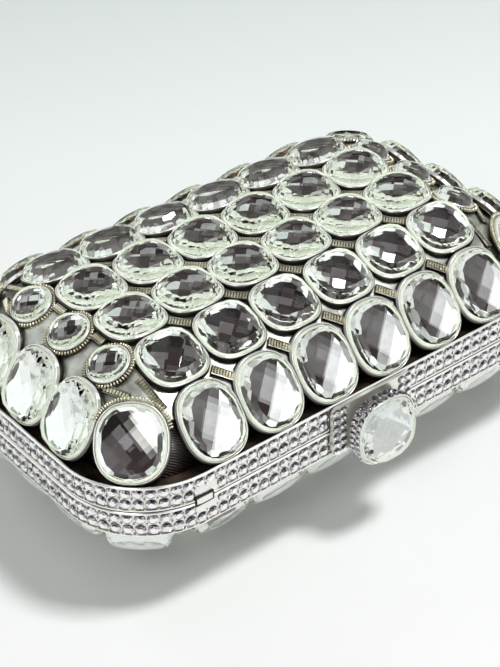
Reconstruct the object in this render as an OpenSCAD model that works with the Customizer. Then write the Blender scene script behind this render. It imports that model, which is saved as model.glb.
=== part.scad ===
// Crystal-set box clutch: two domed halves of bezel-set stones on a pair of jewelled frames,
// hinged at the back and held by a push clasp at the front.
// Heights in the modules are measured from the plane where the two frames meet.

/* [Body] */
// Length of the frames
body_l = 148.8; // [146:0.2:154]
// Width of the frames, front to back
body_w = 95.2; // [94:0.2:98]
// Corner radius of the frames
corner_r = 23.4; // [21:0.2:26]
// Height of the middle bezels above the parting plane
face_h = 25.9; // [25:0.1:30]
// How far the dome springs inside the frame
dome_setback = 3.7; // [3.4:0.1:4.2]
// Roundness power of the dome, 2 is an ellipse
dome_power = 2.1; // [2:0.05:2.3]
// Corner radius of the level crown
crown_corner_r = 4; // [2:0.5:6]

/* [Frames] */
// Height of one frame
band_h = 7.25; // [7:0.05:8]
// Thickness of the frame wall
band_wall = 1.3; // [1.1:0.1:1.6]
// Gap between the closed frames
parting_gap = 0.3; // [0.2:0.05:0.4]
// Height of the plain lip beside the parting line
parting_lip = 0.55; // [0.4:0.05:0.7]
// Height of the plain lip at the outer edge
rim_lip = 0.5; // [0.4:0.05:0.9]
// Depth of the channel that holds the small stones
channel_d = 0.45; // [0.3:0.05:0.6]
// Chamfer on the frame's edges
edge_chamfer = 0.2; // [0.1:0.05:0.3]
// Thickness of the thin crest along the frame's outer edge
crest_t = 0.45; // [0.35:0.05:0.6]
// Height of the bevel inside the crest
crest_bevel = 1; // [0.6:0.1:1.2]
// Height of the inner ledge's underside above the parting plane
ledge_z = 3; // [2.9:0.1:3.2]
// Thickness of the inner ledge
ledge_t = 1; // [0.8:0.1:1.2]

/* [Shells] */
// Thickness of the inner shells
shell_t = 1.2; // [1:0.1:1.6]
// Width of the shell's brim under the ledge
brim_w = 1.3; // [1:0.1:1.4]
// Thickness of the shell's brim
brim_t = 1; // [0.8:0.1:1.2]
// Thickness of the padded lining
lining_t = 0.8; // [0.6:0.1:1.2]
// Height of the lining's edge above the parting plane
lining_edge_z = 0.8; // [0.6:0.1:1.4]
// Slack between a piece and what it is dropped into
seat_slack = 0.1; // [0.05:0.05:0.15]

/* [Face stones] */
// Least run of the dome past the last column of stones
end_zone = 26; // [25:0.5:26]
// Least run of the dome past the last row of face stones' middle line
side_zone = 18; // [17:0.5:18]
// Least width kept beside the end stones for the corner stones
corner_zone = 21.4; // [20.4:0.2:21.4]
// Pitch of the stones along the length
col_pitch = 17; // [16.8:0.1:17.2]
// Pitch of the stones across the width
row_pitch = 16.4; // [16:0.1:16.6]
// Gap between neighbouring bezels
bezel_gap = 0.35; // [0.3:0.05:0.6]
// Cushion power of the face stones
face_power = 2.7; // [2.4:0.1:3]

/* [Settings] */
// Wall of a bezel
bezel_wall = 0.65; // [0.5:0.05:0.8]
// Depth of a bezel
bezel_d = 1.9; // [1.8:0.1:2.1]
// Width of the step that carries a stone
step_w = 0.5; // [0.3:0.1:0.6]
// Height of a stone above its bezel
crown_h = 4; // [3.4:0.1:4.6]
// Depth of a stone's girdle below the bezel's edge
girdle_d = 0.35; // [0.2:0.05:0.5]
// Thickness of a stone's girdle
girdle_t = 0.4; // [0.3:0.1:0.6]
// Depth of a stone's point below the bezel's edge
stone_d = 3.2; // [3:0.1:3.4]
// Slack round a stone in its bezel
stone_slack = 0.05; // [0.03:0.01:0.08]

/* [Wall stones] */
// Place of the long wall's stones on the dome
wall_share = 0.87; // [0.86:0.002:0.876]
// Gap between neighbouring wall stones' bezels
wall_side_gap = 0.6; // [0.5:0.05:0.8]
// Gap between the last row of face stones and the wall stones, measured in plan
wall_gap = 1.28; // [1.28:0.02:1.6]
// Gap between the round stones and the end stones, measured in plan
end_gap = 1.6; // [1.5:0.05:1.8]
// Height of the wall stones' bezels above the frame's ledge
wall_foot = 0.8; // [0.6:0.1:1]
// Cushion power of the wall stones
wall_power = 2.5; // [2.3:0.1:2.7]
// Place of the end wall's stones on the dome
end_share = 0.866; // [0.85:0.002:0.875]
// Pitch of the stones along an end
end_pitch = 17; // [16.6:0.1:17.2]
// Place of the small round stones on the dome
round_share = 0.448; // [0.44:0.002:0.46]
// Diameter of the small round stones' bezels
round_dia = 11.2; // [10.4:0.1:11.4]
// Depth of a round stone's point below the bezel's edge
round_d = 2.7; // [2.4:0.1:2.8]
// Place of the corner stones on the dome
corner_share = 0.865; // [0.85:0.002:0.875]
// Direction that the corner stones face in plan
corner_azimuth = 48; // [45:1:52]
// Height of the corner stones' bezels above the frame's ledge
corner_foot = 1.5; // [1.3:0.1:1.8]
// Width of a corner stone's bezel
corner_w = 17.4; // [16.6:0.1:17.6]
// Cushion power of the corner stones
corner_power = 2.3; // [2.2:0.1:2.5]

/* [Bridges] */
// Thickness of the webs that join the bezels
web_t = 0.6; // [0.5:0.1:0.8]
// Depth of the webs below the bezels' edges
web_d = 1.1; // [0.9:0.1:1.3]
// Length of the ribbed strut between two bezels' corners
pad_l = 5; // [4.2:0.1:5]
// Width of a ribbed strut
pad_w = 2; // [1.6:0.1:2.2]
// Height of a ribbed strut
pad_h = 0.5; // [0.4:0.1:0.7]
// Angle between a strut and the rows of stones
pad_turn = 45; // [42:1:46]
// Ribs on a strut
pad_ribs = 7; // [5:1:8]
// Length of the short struts by the round stones
end_pad_l = 3.6; // [3:0.1:3.8]
// Ribs on a short strut
end_pad_ribs = 5; // [3:1:5]
// Height of a rib
rib_h = 0.3; // [0.2:0.05:0.35]

/* [Band stones] */
// Pitch of the small stones along the frames
band_pitch = 3.08; // [3:0.02:3.2]
// Radius of a small stone
band_stone_r = 1.35; // [1.25:0.05:1.4]
// Radius of a small stone's flat top
band_table_r = 0.8; // [0.6:0.05:0.9]
// Height of a small stone above its channel
band_stone_h = 0.7; // [0.6:0.05:0.8]

/* [Locating blocks] */
// Distance of a locating block from the frame's end
block_end = 22.6; // [21.4:0.2:24.4]
// Width of a locating block
block_w = 4.4; // [4:0.1:5]
// Height of a locating block across both frames
block_h = 1.7; // [1.5:0.1:2]
// Gap round a locating block
block_gap = 0.5; // [0.3:0.05:0.55]
// Thickness of a block's backing plate
block_back_t = 0.9; // [0.7:0.1:1.2]
// Height of the block's tongue inside the upper frame
tongue_h = 2.4; // [2:0.1:2.6]

/* [Hinges] */
// Distance of a hinge's middle from the frame's end
hinge_end = 40.4; // [36.4:1:44.4]
// Length of a hinge
hinge_l = 20; // [18:1:22]
// Radius of the knuckles
knuckle_r = 1.9; // [1.7:0.1:2]
// Radius of the hinge pins
hinge_pin_r = 0.9; // [0.8:0.05:1]
// Running clearance of the pins
pin_clearance = 0.04; // [0.03:0.01:0.06]
// Gap between neighbouring knuckles
knuckle_gap = 0.2; // [0.1:0.05:0.3]
// Thickness of the hinge leaves
leaf_t = 0.7; // [0.6:0.1:0.8]
// Height of a hinge leaf on its frame
leaf_h = 6; // [5:0.5:6.5]
// Gap between the knuckles and the leaves
knuckle_clear = 0.3; // [0.2:0.1:0.4]

/* [Clasp] */
// Place of the clasp along the front, measured from the middle
clasp_x = -1.8; // [-2.4:0.1:2.4]
// Width of the clasp's plate
plate_w = 25.2; // [25:0.2:26.4]
// Height of the clasp's plate
plate_h = 14.2; // [13:0.2:14.4]
// Thickness of the clasp's plate
plate_t = 1.3; // [1.1:0.1:1.6]
// Corner radius of the clasp's plate
plate_r = 2; // [1.5:0.1:2.4]
// Clearance of the plate over the upper frame
plate_clear = 0.3; // [0.25:0.05:0.4]
// Depth of the button's centre below the parting plane
button_drop = 1.7; // [1.2:0.1:2.2]
// Width of the button's collar
collar_w = 16.4; // [15:0.2:16.4]
// Length of the button's collar
collar_l = 2.5; // [2.4:0.1:3.5]
// Wall of the collar
collar_wall = 0.9; // [0.7:0.1:1.2]
// Thickness of the collar's floor
collar_floor = 0.6; // [0.5:0.1:0.8]
// Travel of the button
button_travel = 1; // [0.8:0.1:1]
// Room left behind the pressed collar
button_room = 0.2; // [0.2:0.05:0.4]
// Width of the clasp stone's bezel
clasp_w = 17.6; // [17:0.1:18]
// Height of the clasp stone's bezel
clasp_l = 18.2; // [17.6:0.1:18.6]
// Cushion power of the clasp stone
clasp_power = 2.5; // [2.3:0.1:2.8]
// Height of the clasp stone above its bezel
clasp_crown_h = 3.2; // [2.8:0.1:3.8]
// Depth of the clasp stone's point below the bezel's edge
clasp_stone_d = 1.8; // [1.6:0.1:1.8]
// Radius of the button's stem
stem_r = 0.9; // [0.7:0.05:0.9]
// Running clearance of the stem
stem_clearance = 0.05; // [0.03:0.01:0.08]
// Radius of the small stones on the clasp
clasp_stone_r = 1; // [0.9:0.05:1.1]
// Pitch of the small stones on the clasp
clasp_pitch = 2.2; // [2.1:0.05:2.2]
// Plain edge of the clasp's plate beside its small stones
plate_edge = 0.15; // [0.1:0.05:0.2]

/* [Catch] */
// Thickness of the catch's leaf spring
catch_t = 0.4; // [0.3:0.05:0.5]
// Width of the catch's leaf spring
catch_w = 7; // [6:0.5:8]
// Width of the leaf spring's foot
foot_w = 11; // [10:0.5:12]
// Overlap of the hook over the strike
hook_reach = 0.8; // [0.6:0.1:1]
// Gap between the hook and the strike
hook_gap = 0.3; // [0.2:0.05:0.35]
// Thickness of the hook's head
hook_t = 0.5; // [0.4:0.1:0.6]
// Length of the strike's lip from the frame's wall
lip_l = 2.6; // [2.4:0.1:2.7]
// Thickness of the strike's lip
lip_t = 0.8; // [0.6:0.1:0.9]
// Height of the lip's underside above the parting plane
lip_z = 0.5; // [0.4:0.1:0.6]
// Width of the strike
strike_w = 10; // [9:0.5:11]
// Thickness of the strike's root
strike_t = 0.7; // [0.6:0.1:0.8]
// Radius of the catch's screw heads
screw_r = 0.8; // [0.6:0.1:0.9]
// Height of the catch's screw heads
screw_h = 0.4; // [0.3:0.1:0.5]
// Radius of the return spring's coil
coil_r = 1.6; // [1.5:0.05:1.8]
// Radius of the return spring's wire
wire_r = 0.16; // [0.12:0.02:0.18]
// Turns of the return spring
coil_turns = 3; // [3:1:4]

/* [Hidden] */
$fn = 48;

SILVER = [0.80, 0.79, 0.75];
CREAM_SILVER = [0.86, 0.84, 0.78];
CRYSTAL = [0.74, 0.78, 0.80];
PAVE = [0.66, 0.65, 0.70];
SATIN = [0.62, 0.62, 0.64];
STEEL = [0.55, 0.56, 0.58];

// Overrun of every cut past the surface that it opens
overrun = 1;
// Sides of a cushion-shaped outline
cushion_sides = 16;

half_l = body_l / 2;
half_w = body_w / 2;
half_gap = parting_gap / 2;
ledge_top = ledge_z + ledge_t;
block_x = half_l - block_end;
hinge_x = half_l - hinge_end;

// Stones along the length, rows of them on each side of the middle, and stones along an end
columns = floor((body_l - 2 * dome_setback - 2 * end_zone) / col_pitch) + 1;
side_rows = floor((half_w - dome_setback - row_pitch / 2 - side_zone) / row_pitch) + 1;
end_stones = floor((body_w - 2 * corner_zone) / end_pitch);

// The dome's level crown and its run down to the frame
crown_x = (columns - 1) / 2 * col_pitch;
crown_y = row_pitch / 2;
run_x = half_l - dome_setback - crown_x;
run_y = half_w - dome_setback - crown_y;
dome_corner_r = corner_r - dome_setback;

shell_d = stone_d + seat_slack;
ledge_w = dome_setback + shell_d - seat_slack;

hinge_out = leaf_t + knuckle_r + knuckle_clear;
collar_u = plate_t + button_travel + button_room;
collar_end = collar_u + collar_l;
clasp_edge_u = collar_end + bezel_d;
front_reach = half_w + clasp_edge_u + clasp_crown_h;
back_reach = half_w + hinge_out + knuckle_r;
origin_y = (front_reach - back_reach) / 2;
parting_z = face_h + crown_h;

// Leaf spring, hook and strike behind the front wall
leaf_u = band_wall + lip_l + hook_gap + catch_t;
hook_z = lip_z + lip_t + hook_gap;

// The stem passes just over the foot of the leaf spring
stem_drop = ledge_z - catch_t - seat_slack - stem_r;

function signed(value, size) = value < 0 ? -size : size;

// Points of a cushion outline, by the superellipse formula
function cushion_point(half_x, half_y, power, angle) = [
    half_x * signed(cos(angle), pow(abs(cos(angle)), 2 / power)),
    half_y * signed(sin(angle), pow(abs(sin(angle)), 2 / power))
];
function cushion(half_x, half_y, power, sides = cushion_sides) =
    [for (i = [0:sides - 1]) cushion_point(half_x, half_y, power, i * 360 / sides)];

// Height share and tilt of the dome at share e of its run
function dome_share(e) = pow(1 - pow(e, dome_power), 1 / dome_power);
function dome_tilt(e, run) = e <= 0 ? 0 :
    atan(face_h / run * pow(e, dome_power - 1)
        * pow(1 - pow(e, dome_power), 1 / dome_power - 1));

// Corner of the dome's plan at share e of its run
function dome_ring(e, inset = 0) = [
    crown_x + (run_x - inset) * e,
    crown_y + (run_y - inset) * e,
    crown_corner_r + (dome_corner_r - inset - crown_corner_r) * e
];
function dome_corner(e) = let (ring = dome_ring(e), cut = ring[2] * (1 - cos(45)))
    [ring[0] - cut, ring[1] - cut];

face_half_x = (row_pitch - bezel_gap) / 2;
face_half_y = (col_pitch - bezel_gap) / 2;

// Half the length of a stone whose bezel clears the frame's ledge by foot
function foot_reach(share, tilt, foot) =
    (face_h * dome_share(share) - bezel_d * cos(tilt) - ledge_top - foot) / sin(tilt);

// Half the length of a stone that stops at a distance top along the dome's run
function top_reach(share, run, tilt, top) = (run * share - top) / cos(tilt);

// The wall stones fill the slope from the last row of face stones down to the ledge
last_row = side_rows - 1;
wall_tilt = dome_tilt(wall_share, run_y);
wall_top = last_row * row_pitch + wall_gap
    + face_half_x * cos(dome_tilt(last_row * row_pitch / run_y, run_y));
wall_l = 2 * min(foot_reach(wall_share, wall_tilt, wall_foot),
    top_reach(wall_share, run_y, wall_tilt, wall_top));
wall_w = col_pitch - wall_side_gap;

// The end stones fill the slope from the round stones down to the ledge
end_tilt = dome_tilt(end_share, run_x);
end_top = run_x * round_share + end_gap + round_dia / 2 * cos(dome_tilt(round_share, run_x));
end_l = 2 * min(foot_reach(end_share, end_tilt, wall_foot),
    top_reach(end_share, run_x, end_tilt, end_top));
end_w = end_pitch - wall_side_gap;

corner_tilt = dome_tilt(corner_share, norm(dome_corner(1) - dome_corner(0)));
corner_l = 2 * foot_reach(corner_share, corner_tilt, corner_foot);

// Places of the stones: position, tilt, and the direction that the tilt faces
face_places = [
    for (i = [0:columns - 1], side = [-1, 1], row = [0:last_row])
        let (e = row * row_pitch / run_y)
        [[(i - (columns - 1) / 2) * col_pitch, side * (row + 0.5) * row_pitch,
            face_h * dome_share(e)], dome_tilt(e, run_y), 90 * side]
];
wall_places = [
    for (i = [0:columns - 1], side = [-1, 1])
        [[(i - (columns - 1) / 2) * col_pitch, side * (crown_y + run_y * wall_share),
            face_h * dome_share(wall_share)], wall_tilt, 90 * side]
];
end_places = [
    for (side = [-1, 1], i = [0:end_stones - 1])
        [[side * (crown_x + run_x * end_share), (i - (end_stones - 1) / 2) * end_pitch,
            face_h * dome_share(end_share)], end_tilt, side < 0 ? 180 : 0]
];
round_places = [
    for (side = [-1, 1], row = [-last_row:last_row])
        let (fall = max(0, abs(row) * row_pitch - crown_y) / run_y)
        [[side * (crown_x + run_x * round_share), row * row_pitch,
            face_h * dome_share(round_share) * dome_share(fall)],
            dome_tilt(round_share, run_x), side < 0 ? 180 : 0]
];
corner_places = let (spot = dome_corner(corner_share))
[
    for (side_x = [-1, 1], side_y = [-1, 1])
        [[side_x * spot[0], side_y * spot[1], face_h * dome_share(corner_share)], corner_tilt,
            atan2(side_y * sin(corner_azimuth), side_x * cos(corner_azimuth))]
];

module upper_half() {
    translate([0, origin_y, parting_z]) children();
}

module lower_half() {
    translate([0, origin_y, parting_z]) mirror([0, 0, 1]) children();
}

// Puts a piece on the dome with its Z axis out of the surface and its X axis down the slope
module on_dome(place) {
    translate(place[0]) rotate([0, 0, place[2]]) rotate([0, place[1], 0]) children();
}

// Faces the front of the frame at the clasp, with X to the right, Y up and Z out of the band
module on_front() {
    translate([clasp_x, origin_y - half_w, parting_z]) rotate([90, 0, 0]) children();
}

// Cross-section swept round the frame: X of the profile is out, Y is up
module around_frame(profile) {
    for (side = [0:3]) {
        run = side % 2 == 0 ? body_w - 2 * corner_r : body_l - 2 * corner_r;
        reach = side % 2 == 0 ? half_l : half_w;
        rotate([0, 0, 90 * side]) {
            translate([reach, run / 2, 0]) rotate([90, 0, 0]) linear_extrude(run) polygon(profile);
            translate([reach - corner_r, run / 2, 0]) rotate_extrude(angle = 90)
                translate([corner_r, 0]) polygon(profile);
        }
    }
}

// One frame: lips, a sunk channel for the small stones, a thin crest, and the inner ledge
module frame_ring() {
    low = half_gap;
    channel_low = half_gap + parting_lip;
    channel_high = band_h - rim_lip;
    around_frame([
        [-band_wall, low], [-edge_chamfer, low], [0, low + edge_chamfer],
        [0, channel_low], [-channel_d, channel_low], [-channel_d, channel_high],
        [0, channel_high], [0, band_h - edge_chamfer], [-edge_chamfer, band_h],
        [-crest_t, band_h], [-band_wall, band_h - crest_bevel], [-band_wall, ledge_top],
        [-ledge_w, ledge_top], [-ledge_w, ledge_z], [-band_wall, ledge_z]
    ]);
}

// Openings in a frame's front edge for the locating blocks
module block_notches() {
    for (side = [-1, 1])
        translate([side * block_x, -half_w, 0])
            cube([block_w + 2 * block_gap, 2 * (band_wall + overrun), block_h + 2 * block_gap],
                center = true);
}

module upper_frame_body() {
    difference() {
        frame_ring();
        block_notches();
    }
}

module lower_frame_body() {
    difference() {
        frame_ring();
        block_notches();
        translate([clasp_x, -half_w - overrun, stem_drop]) rotate([-90, 0, 0])
            cylinder(h = band_wall + 2 * overrun, r = stem_r + stem_clearance);
    }
}

// Rounded rectangle of points at one height
function ring_points(reach_x, reach_y, radius, z, arc_steps) = [
    for (quarter = [0:3], step = [0:arc_steps])
        let (angle = quarter * 90 + step * 90 / arc_steps,
            side_x = quarter == 0 || quarter == 3 ? 1 : -1,
            side_y = quarter < 2 ? 1 : -1)
        [side_x * (reach_x - radius) + radius * cos(angle),
            side_y * (reach_y - radius) + radius * sin(angle), z]
];

// Rings of a dome that is set in by inset, from a share of its height up to its crown
function dome_rings(inset, low_share, steps, arc_steps) =
    let (height = face_h - inset, start = asin(pow(low_share, dome_power / 2)))
    [
        for (i = [0:steps])
            let (angle = start + (90 - start) * i / steps,
                e = pow(max(0, cos(angle)), 2 / dome_power),
                ring = dome_ring(e, inset))
            ring_points(ring[0], ring[1], ring[2],
                height * pow(sin(angle), 2 / dome_power), arc_steps)
    ];

function reversed(list) = [for (i = [len(list) - 1:-1:0]) list[i]];

// Closed skin through a list of rings, with a flat cap on the first and the last
module loft(rings) {
    count = len(rings[0]);
    last = len(rings) - 1;
    points = [for (ring = rings) each ring];
    sides = [
        for (i = [0:last - 1], j = [0:count - 1])
            let (a = i * count + j, b = i * count + (j + 1) % count)
            each [[a, a + count, b], [b, a + count, b + count]]
    ];
    caps = [[for (j = [0:count - 1]) j], [for (j = [count - 1:-1:0]) last * count + j]];
    polyhedron(points = points, faces = concat(sides, caps), convexity = 6);
}

arc_steps = 5;
dome_steps = 6;
lining_inset = shell_d + shell_t + seat_slack;
inner_low_share = (ledge_z - brim_t) / (face_h - shell_d - shell_t);

// Inner shell, with a brim that lies under the frame's ledge
module shell_body() {
    outer = dome_rings(shell_d, ledge_z / (face_h - shell_d), dome_steps, arc_steps);
    inner = dome_rings(shell_d + shell_t, inner_low_share, dome_steps, arc_steps);
    brim_inset = ledge_w - brim_w;
    brim = [for (z = [ledge_z - brim_t, ledge_z])
        ring_points(half_l - brim_inset, half_w - brim_inset, corner_r - brim_inset, z, arc_steps)];
    loft(concat(reversed(inner), brim, outer));
}

// Rings of one face of the lining, which runs straight down to its edge
function lining_rings(inset) =
    let (rings = dome_rings(inset, inner_low_share, dome_steps, arc_steps))
    concat([[for (p = rings[0]) [p[0], p[1], lining_edge_z]]], rings);

// Padded lining inside the shell
module lining_body() {
    loft(concat(reversed(lining_rings(lining_inset + lining_t)), lining_rings(lining_inset)));
}

// Bezel round a stone: a rim with a step that the stone's edge rests on.
// Its edge is at height 0, half_x runs down the slope, and depth is the stone's.
module bezel(half_x, half_y, power, depth = stone_d) {
    seat = bezel_wall + step_w;
    slope = (depth - girdle_d - girdle_t) / (min(half_x, half_y) - bezel_wall - stone_slack);
    step_z = girdle_d + girdle_t + (step_w + stone_slack) * slope + stone_slack;
    difference() {
        translate([0, 0, -bezel_d]) linear_extrude(bezel_d) polygon(cushion(half_x, half_y, power));
        translate([0, 0, -step_z]) linear_extrude(step_z + overrun)
            polygon(cushion(half_x - bezel_wall, half_y - bezel_wall, power));
        translate([0, 0, -bezel_d - overrun]) linear_extrude(bezel_d + overrun)
            polygon(cushion(half_x - seat, half_y - seat, power));
    }
}

// Faceted stone for a bezel of the same outline: a point below, a girdle, and a domed crown
// whose facets run along the diagonals up to a square table
module crystal(half_x, half_y, power, rise, depth = stone_d) {
    shrink = bezel_wall + stone_slack;
    reach_x = half_x - shrink;
    reach_y = half_y - shrink;
    shoulder_share = 0.76;
    shoulder_rise_share = 0.6;
    table_share = 0.32;
    n = cushion_sides;
    girdle = cushion(reach_x, reach_y, power);
    shoulder = cushion(reach_x * shoulder_share, reach_y * shoulder_share, power, n / 2);
    table = cushion(reach_x * table_share, reach_y * table_share, 2, n / 4);
    points = concat(
        [[0, 0, -depth]],
        [for (p = girdle) [p[0], p[1], -girdle_d - girdle_t]],
        [for (p = girdle) [p[0], p[1], -girdle_d]],
        [for (p = shoulder) [p[0], p[1], rise * shoulder_rise_share]],
        [for (p = table) [p[0], p[1], rise]]
    );
    low = 1;
    high = low + n;
    mid = high + n;
    top = mid + n / 2;
    faces = concat(
        [for (i = [0:n - 1]) [0, low + i, low + (i + 1) % n]],
        [for (i = [0:n - 1]) let (j = (i + 1) % n) each
            [[low + i, high + i, high + j], [low + i, high + j, low + j]]],
        [for (i = [0:n / 2 - 1]) let (j = (i + 1) % (n / 2), k = (2 * i + 2) % n) each
            [[high + 2 * i, mid + i, high + 2 * i + 1],
                [high + 2 * i + 1, mid + i, mid + j],
                [high + 2 * i + 1, mid + j, high + k]]],
        [for (i = [0:n / 4 - 1]) let (j = (i + 1) % (n / 4), k = (2 * i + 2) % (n / 2)) each
            [[mid + 2 * i, top + i, mid + 2 * i + 1],
                [mid + 2 * i + 1, top + i, top + j],
                [mid + 2 * i + 1, top + j, mid + k]]],
        [[for (i = [n / 4 - 1:-1:0]) top + i]]
    );
    polyhedron(points = points, faces = faces);
}

module face_bezels() {
    for (place = face_places) on_dome(place) bezel(face_half_x, face_half_y, face_power);
}

module face_crystals() {
    for (place = face_places)
        on_dome(place) crystal(face_half_x, face_half_y, face_power, crown_h);
}

module wall_bezels() {
    for (place = wall_places)
        on_dome(place) bezel(wall_l / 2, wall_w / 2, wall_power);
    for (place = end_places)
        on_dome(place) bezel(end_l / 2, end_w / 2, wall_power);
}

module wall_crystals() {
    for (place = wall_places)
        on_dome(place) crystal(wall_l / 2, wall_w / 2, wall_power, crown_h);
    for (place = end_places)
        on_dome(place) crystal(end_l / 2, end_w / 2, wall_power, crown_h);
}

module corner_bezels() {
    for (place = corner_places) on_dome(place) bezel(corner_l / 2, corner_w / 2, corner_power);
}

module corner_crystals() {
    for (place = corner_places)
        on_dome(place) crystal(corner_l / 2, corner_w / 2, corner_power, crown_h);
}

module round_bezels() {
    for (place = round_places) on_dome(place) bezel(round_dia / 2, round_dia / 2, 2, round_d);
}

module round_crystals() {
    round_rise = crown_h * round_dia / col_pitch;
    for (place = round_places)
        on_dome(place) crystal(round_dia / 2, round_dia / 2, 2, round_rise, round_d);
}

// Ribbed strut that runs across the slope between the corners of two bezels
module strut(length, ribs) {
    translate([-pad_w / 2, -length / 2, -web_d]) cube([pad_w, length, pad_h]);
    for (i = [0:ribs - 1])
        translate([-pad_w / 2, ((i + 0.5) / ribs - 0.5) * length - rib_h / 2, pad_h - web_d])
            cube([pad_w, rib_h, rib_h]);
}

module slanted_strut() {
    rotate([0, 0, -pad_turn]) strut(pad_l, pad_ribs);
}

// Web that fills the space between four neighbouring face bezels, with its strut
module face_bridge() {
    translate([0, 0, -web_d - web_t]) linear_extrude(web_t) difference() {
        polygon([[crown_y / 2, 0], [0, col_pitch / 4], [-crown_y / 2, 0], [0, -col_pitch / 4]]);
        for (side_x = [-1, 1], side_y = [-1, 1])
            translate([side_x * row_pitch / 2, side_y * col_pitch / 2])
                polygon(cushion(face_half_x + seat_slack, face_half_y + seat_slack, face_power));
    }
    slanted_strut();
}

// Bridges lie on the dome's middle line, between the rows of stones, and by the wall stones
module bridges() {
    wall_e = (wall_top - wall_gap / 2) / run_y;
    end_x = crown_x + face_half_y + pad_w / 2 + bezel_gap;
    end_e = (end_x - crown_x) / run_x;
    for (i = [1:columns - 1]) {
        x = (i - columns / 2) * col_pitch;
        translate([x, 0, face_h]) rotate([0, 0, 90]) face_bridge();
        for (side = [-1, 1]) {
            for (row = [1:1:last_row]) {
                bend_e = (row * row_pitch - crown_y) / run_y;
                on_dome([[x, side * row * row_pitch, face_h * dome_share(bend_e)],
                    dome_tilt(bend_e, run_y), 90 * side]) slanted_strut();
            }
            on_dome([[x, side * (crown_y + run_y * wall_e), face_h * dome_share(wall_e)],
                dome_tilt(wall_e, run_y), 90 * side]) slanted_strut();
        }
    }
    for (side_x = [-1, 1], side_y = [-1, 1])
        on_dome([[side_x * end_x, side_y * crown_y, face_h * dome_share(end_e)],
            dome_tilt(end_e, run_x), side_x < 0 ? 180 : 0]) strut(end_pad_l, end_pad_ribs);
}

function turned(p, angle) =
    [p[0] * cos(angle) - p[1] * sin(angle), p[0] * sin(angle) + p[1] * cos(angle)];

// Stretches of each straight side that carry small stones, up to the hinges and the clasp's plate
side_run = half_w - corner_r;
front_run = half_l - corner_r;
stretches = [
    [[-side_run, side_run]],
    [[-front_run, -hinge_x - hinge_l / 2], [hinge_l / 2 - hinge_x, hinge_x - hinge_l / 2],
        [hinge_x + hinge_l / 2, front_run]],
    [[-side_run, side_run]],
    [[-front_run, clasp_x - plate_w / 2], [clasp_x + plate_w / 2, front_run]]
];

// Places of the small stones round the frame: a point on its face, and the way it faces
band_spots = [
    for (side = [0:3])
        let (reach = side % 2 == 0 ? half_l : half_w,
            run = side % 2 == 0 ? side_run : front_run,
            bend = round(corner_r * PI / 2 / band_pitch))
        each concat(
            [for (stretch = stretches[side])
                let (count = round((stretch[1] - stretch[0]) / band_pitch))
                for (i = [0:1:count - 1])
                    [turned([reach, stretch[0] + (i + 0.5) / count * (stretch[1] - stretch[0])],
                        90 * side), 90 * side]],
            [for (i = [0:bend - 1]) let (angle = (i + 0.5) * 90 / bend)
                [turned([reach - corner_r + corner_r * cos(angle),
                    run + corner_r * sin(angle)], 90 * side), 90 * side + angle]]
        )
];

// True where a locating block takes a small stone's place
function under_block(p) = half_w + p[1] < band_stone_r
    && abs(abs(p[0]) - block_x) < block_w / 2 + band_stone_r;

// Two rows of small stones seated in the frame's channel
module band_stones() {
    channel_low = half_gap + parting_lip;
    channel_high = band_h - rim_lip;
    row_step = (channel_high - channel_low) / 2;
    for (spot = band_spots, row = [0, 1])
        if (row == 1 || !under_block(spot[0]))
            translate([spot[0][0], spot[0][1], channel_low + (row + 0.5) * row_step])
                rotate([0, 0, spot[1]]) translate([-channel_d, 0, 0]) band_stone();
}

module band_stone() {
    rotate([0, 90, 0]) cylinder(h = band_stone_h, r1 = band_stone_r, r2 = band_table_r);
}

module lower_frame() {
    color(CREAM_SILVER) lower_half() lower_frame_body();
}

module upper_frame() {
    color(CREAM_SILVER) upper_half() upper_frame_body();
}

module lower_shell() {
    color(SATIN) lower_half() shell_body();
}

module upper_shell() {
    color(SATIN) upper_half() shell_body();
}

module lower_lining() {
    color(SATIN) lower_half() lining_body();
}

module upper_lining() {
    color(SATIN) upper_half() lining_body();
}

module lower_face_bezels() {
    color(SILVER) lower_half() face_bezels();
}

module upper_face_bezels() {
    color(SILVER) upper_half() face_bezels();
}

module lower_wall_bezels() {
    color(SILVER) lower_half() wall_bezels();
}

module upper_wall_bezels() {
    color(SILVER) upper_half() wall_bezels();
}

module lower_corner_bezels() {
    color(SILVER) lower_half() corner_bezels();
}

module upper_corner_bezels() {
    color(SILVER) upper_half() corner_bezels();
}

module lower_round_bezels() {
    color(SILVER) lower_half() round_bezels();
}

module upper_round_bezels() {
    color(SILVER) upper_half() round_bezels();
}

module lower_face_crystals() {
    color(CRYSTAL) lower_half() face_crystals();
}

module upper_face_crystals() {
    color(CRYSTAL) upper_half() face_crystals();
}

module lower_wall_crystals() {
    color(CRYSTAL) lower_half() wall_crystals();
}

module upper_wall_crystals() {
    color(CRYSTAL) upper_half() wall_crystals();
}

module lower_corner_crystals() {
    color(CRYSTAL) lower_half() corner_crystals();
}

module upper_corner_crystals() {
    color(CRYSTAL) upper_half() corner_crystals();
}

module lower_round_crystals() {
    color(CRYSTAL) lower_half() round_crystals();
}

module upper_round_crystals() {
    color(CRYSTAL) upper_half() round_crystals();
}

module lower_bridges() {
    color(SILVER) lower_half() bridges();
}

module upper_bridges() {
    color(SILVER) upper_half() bridges();
}

module lower_band_crystals() {
    color(PAVE) lower_half() band_stones();
}

module upper_band_crystals() {
    color(PAVE) upper_half() band_stones();
}

// Blocks on the lower frame's wall that fill the notches and stand up into the upper frame
module locating_blocks() {
    back = -band_wall - block_back_t;
    color(CREAM_SILVER) upper_half() {
        front_slices(block_w) around_frame([
            [-band_wall, -block_h / 2], [0, -block_h / 2], [0, block_h / 2],
            [-band_wall - block_gap, block_h / 2], [-band_wall - block_gap, tongue_h],
            [back, tongue_h], [back, -ledge_z], [-band_wall, -ledge_z]
        ]);
    }
}

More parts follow.
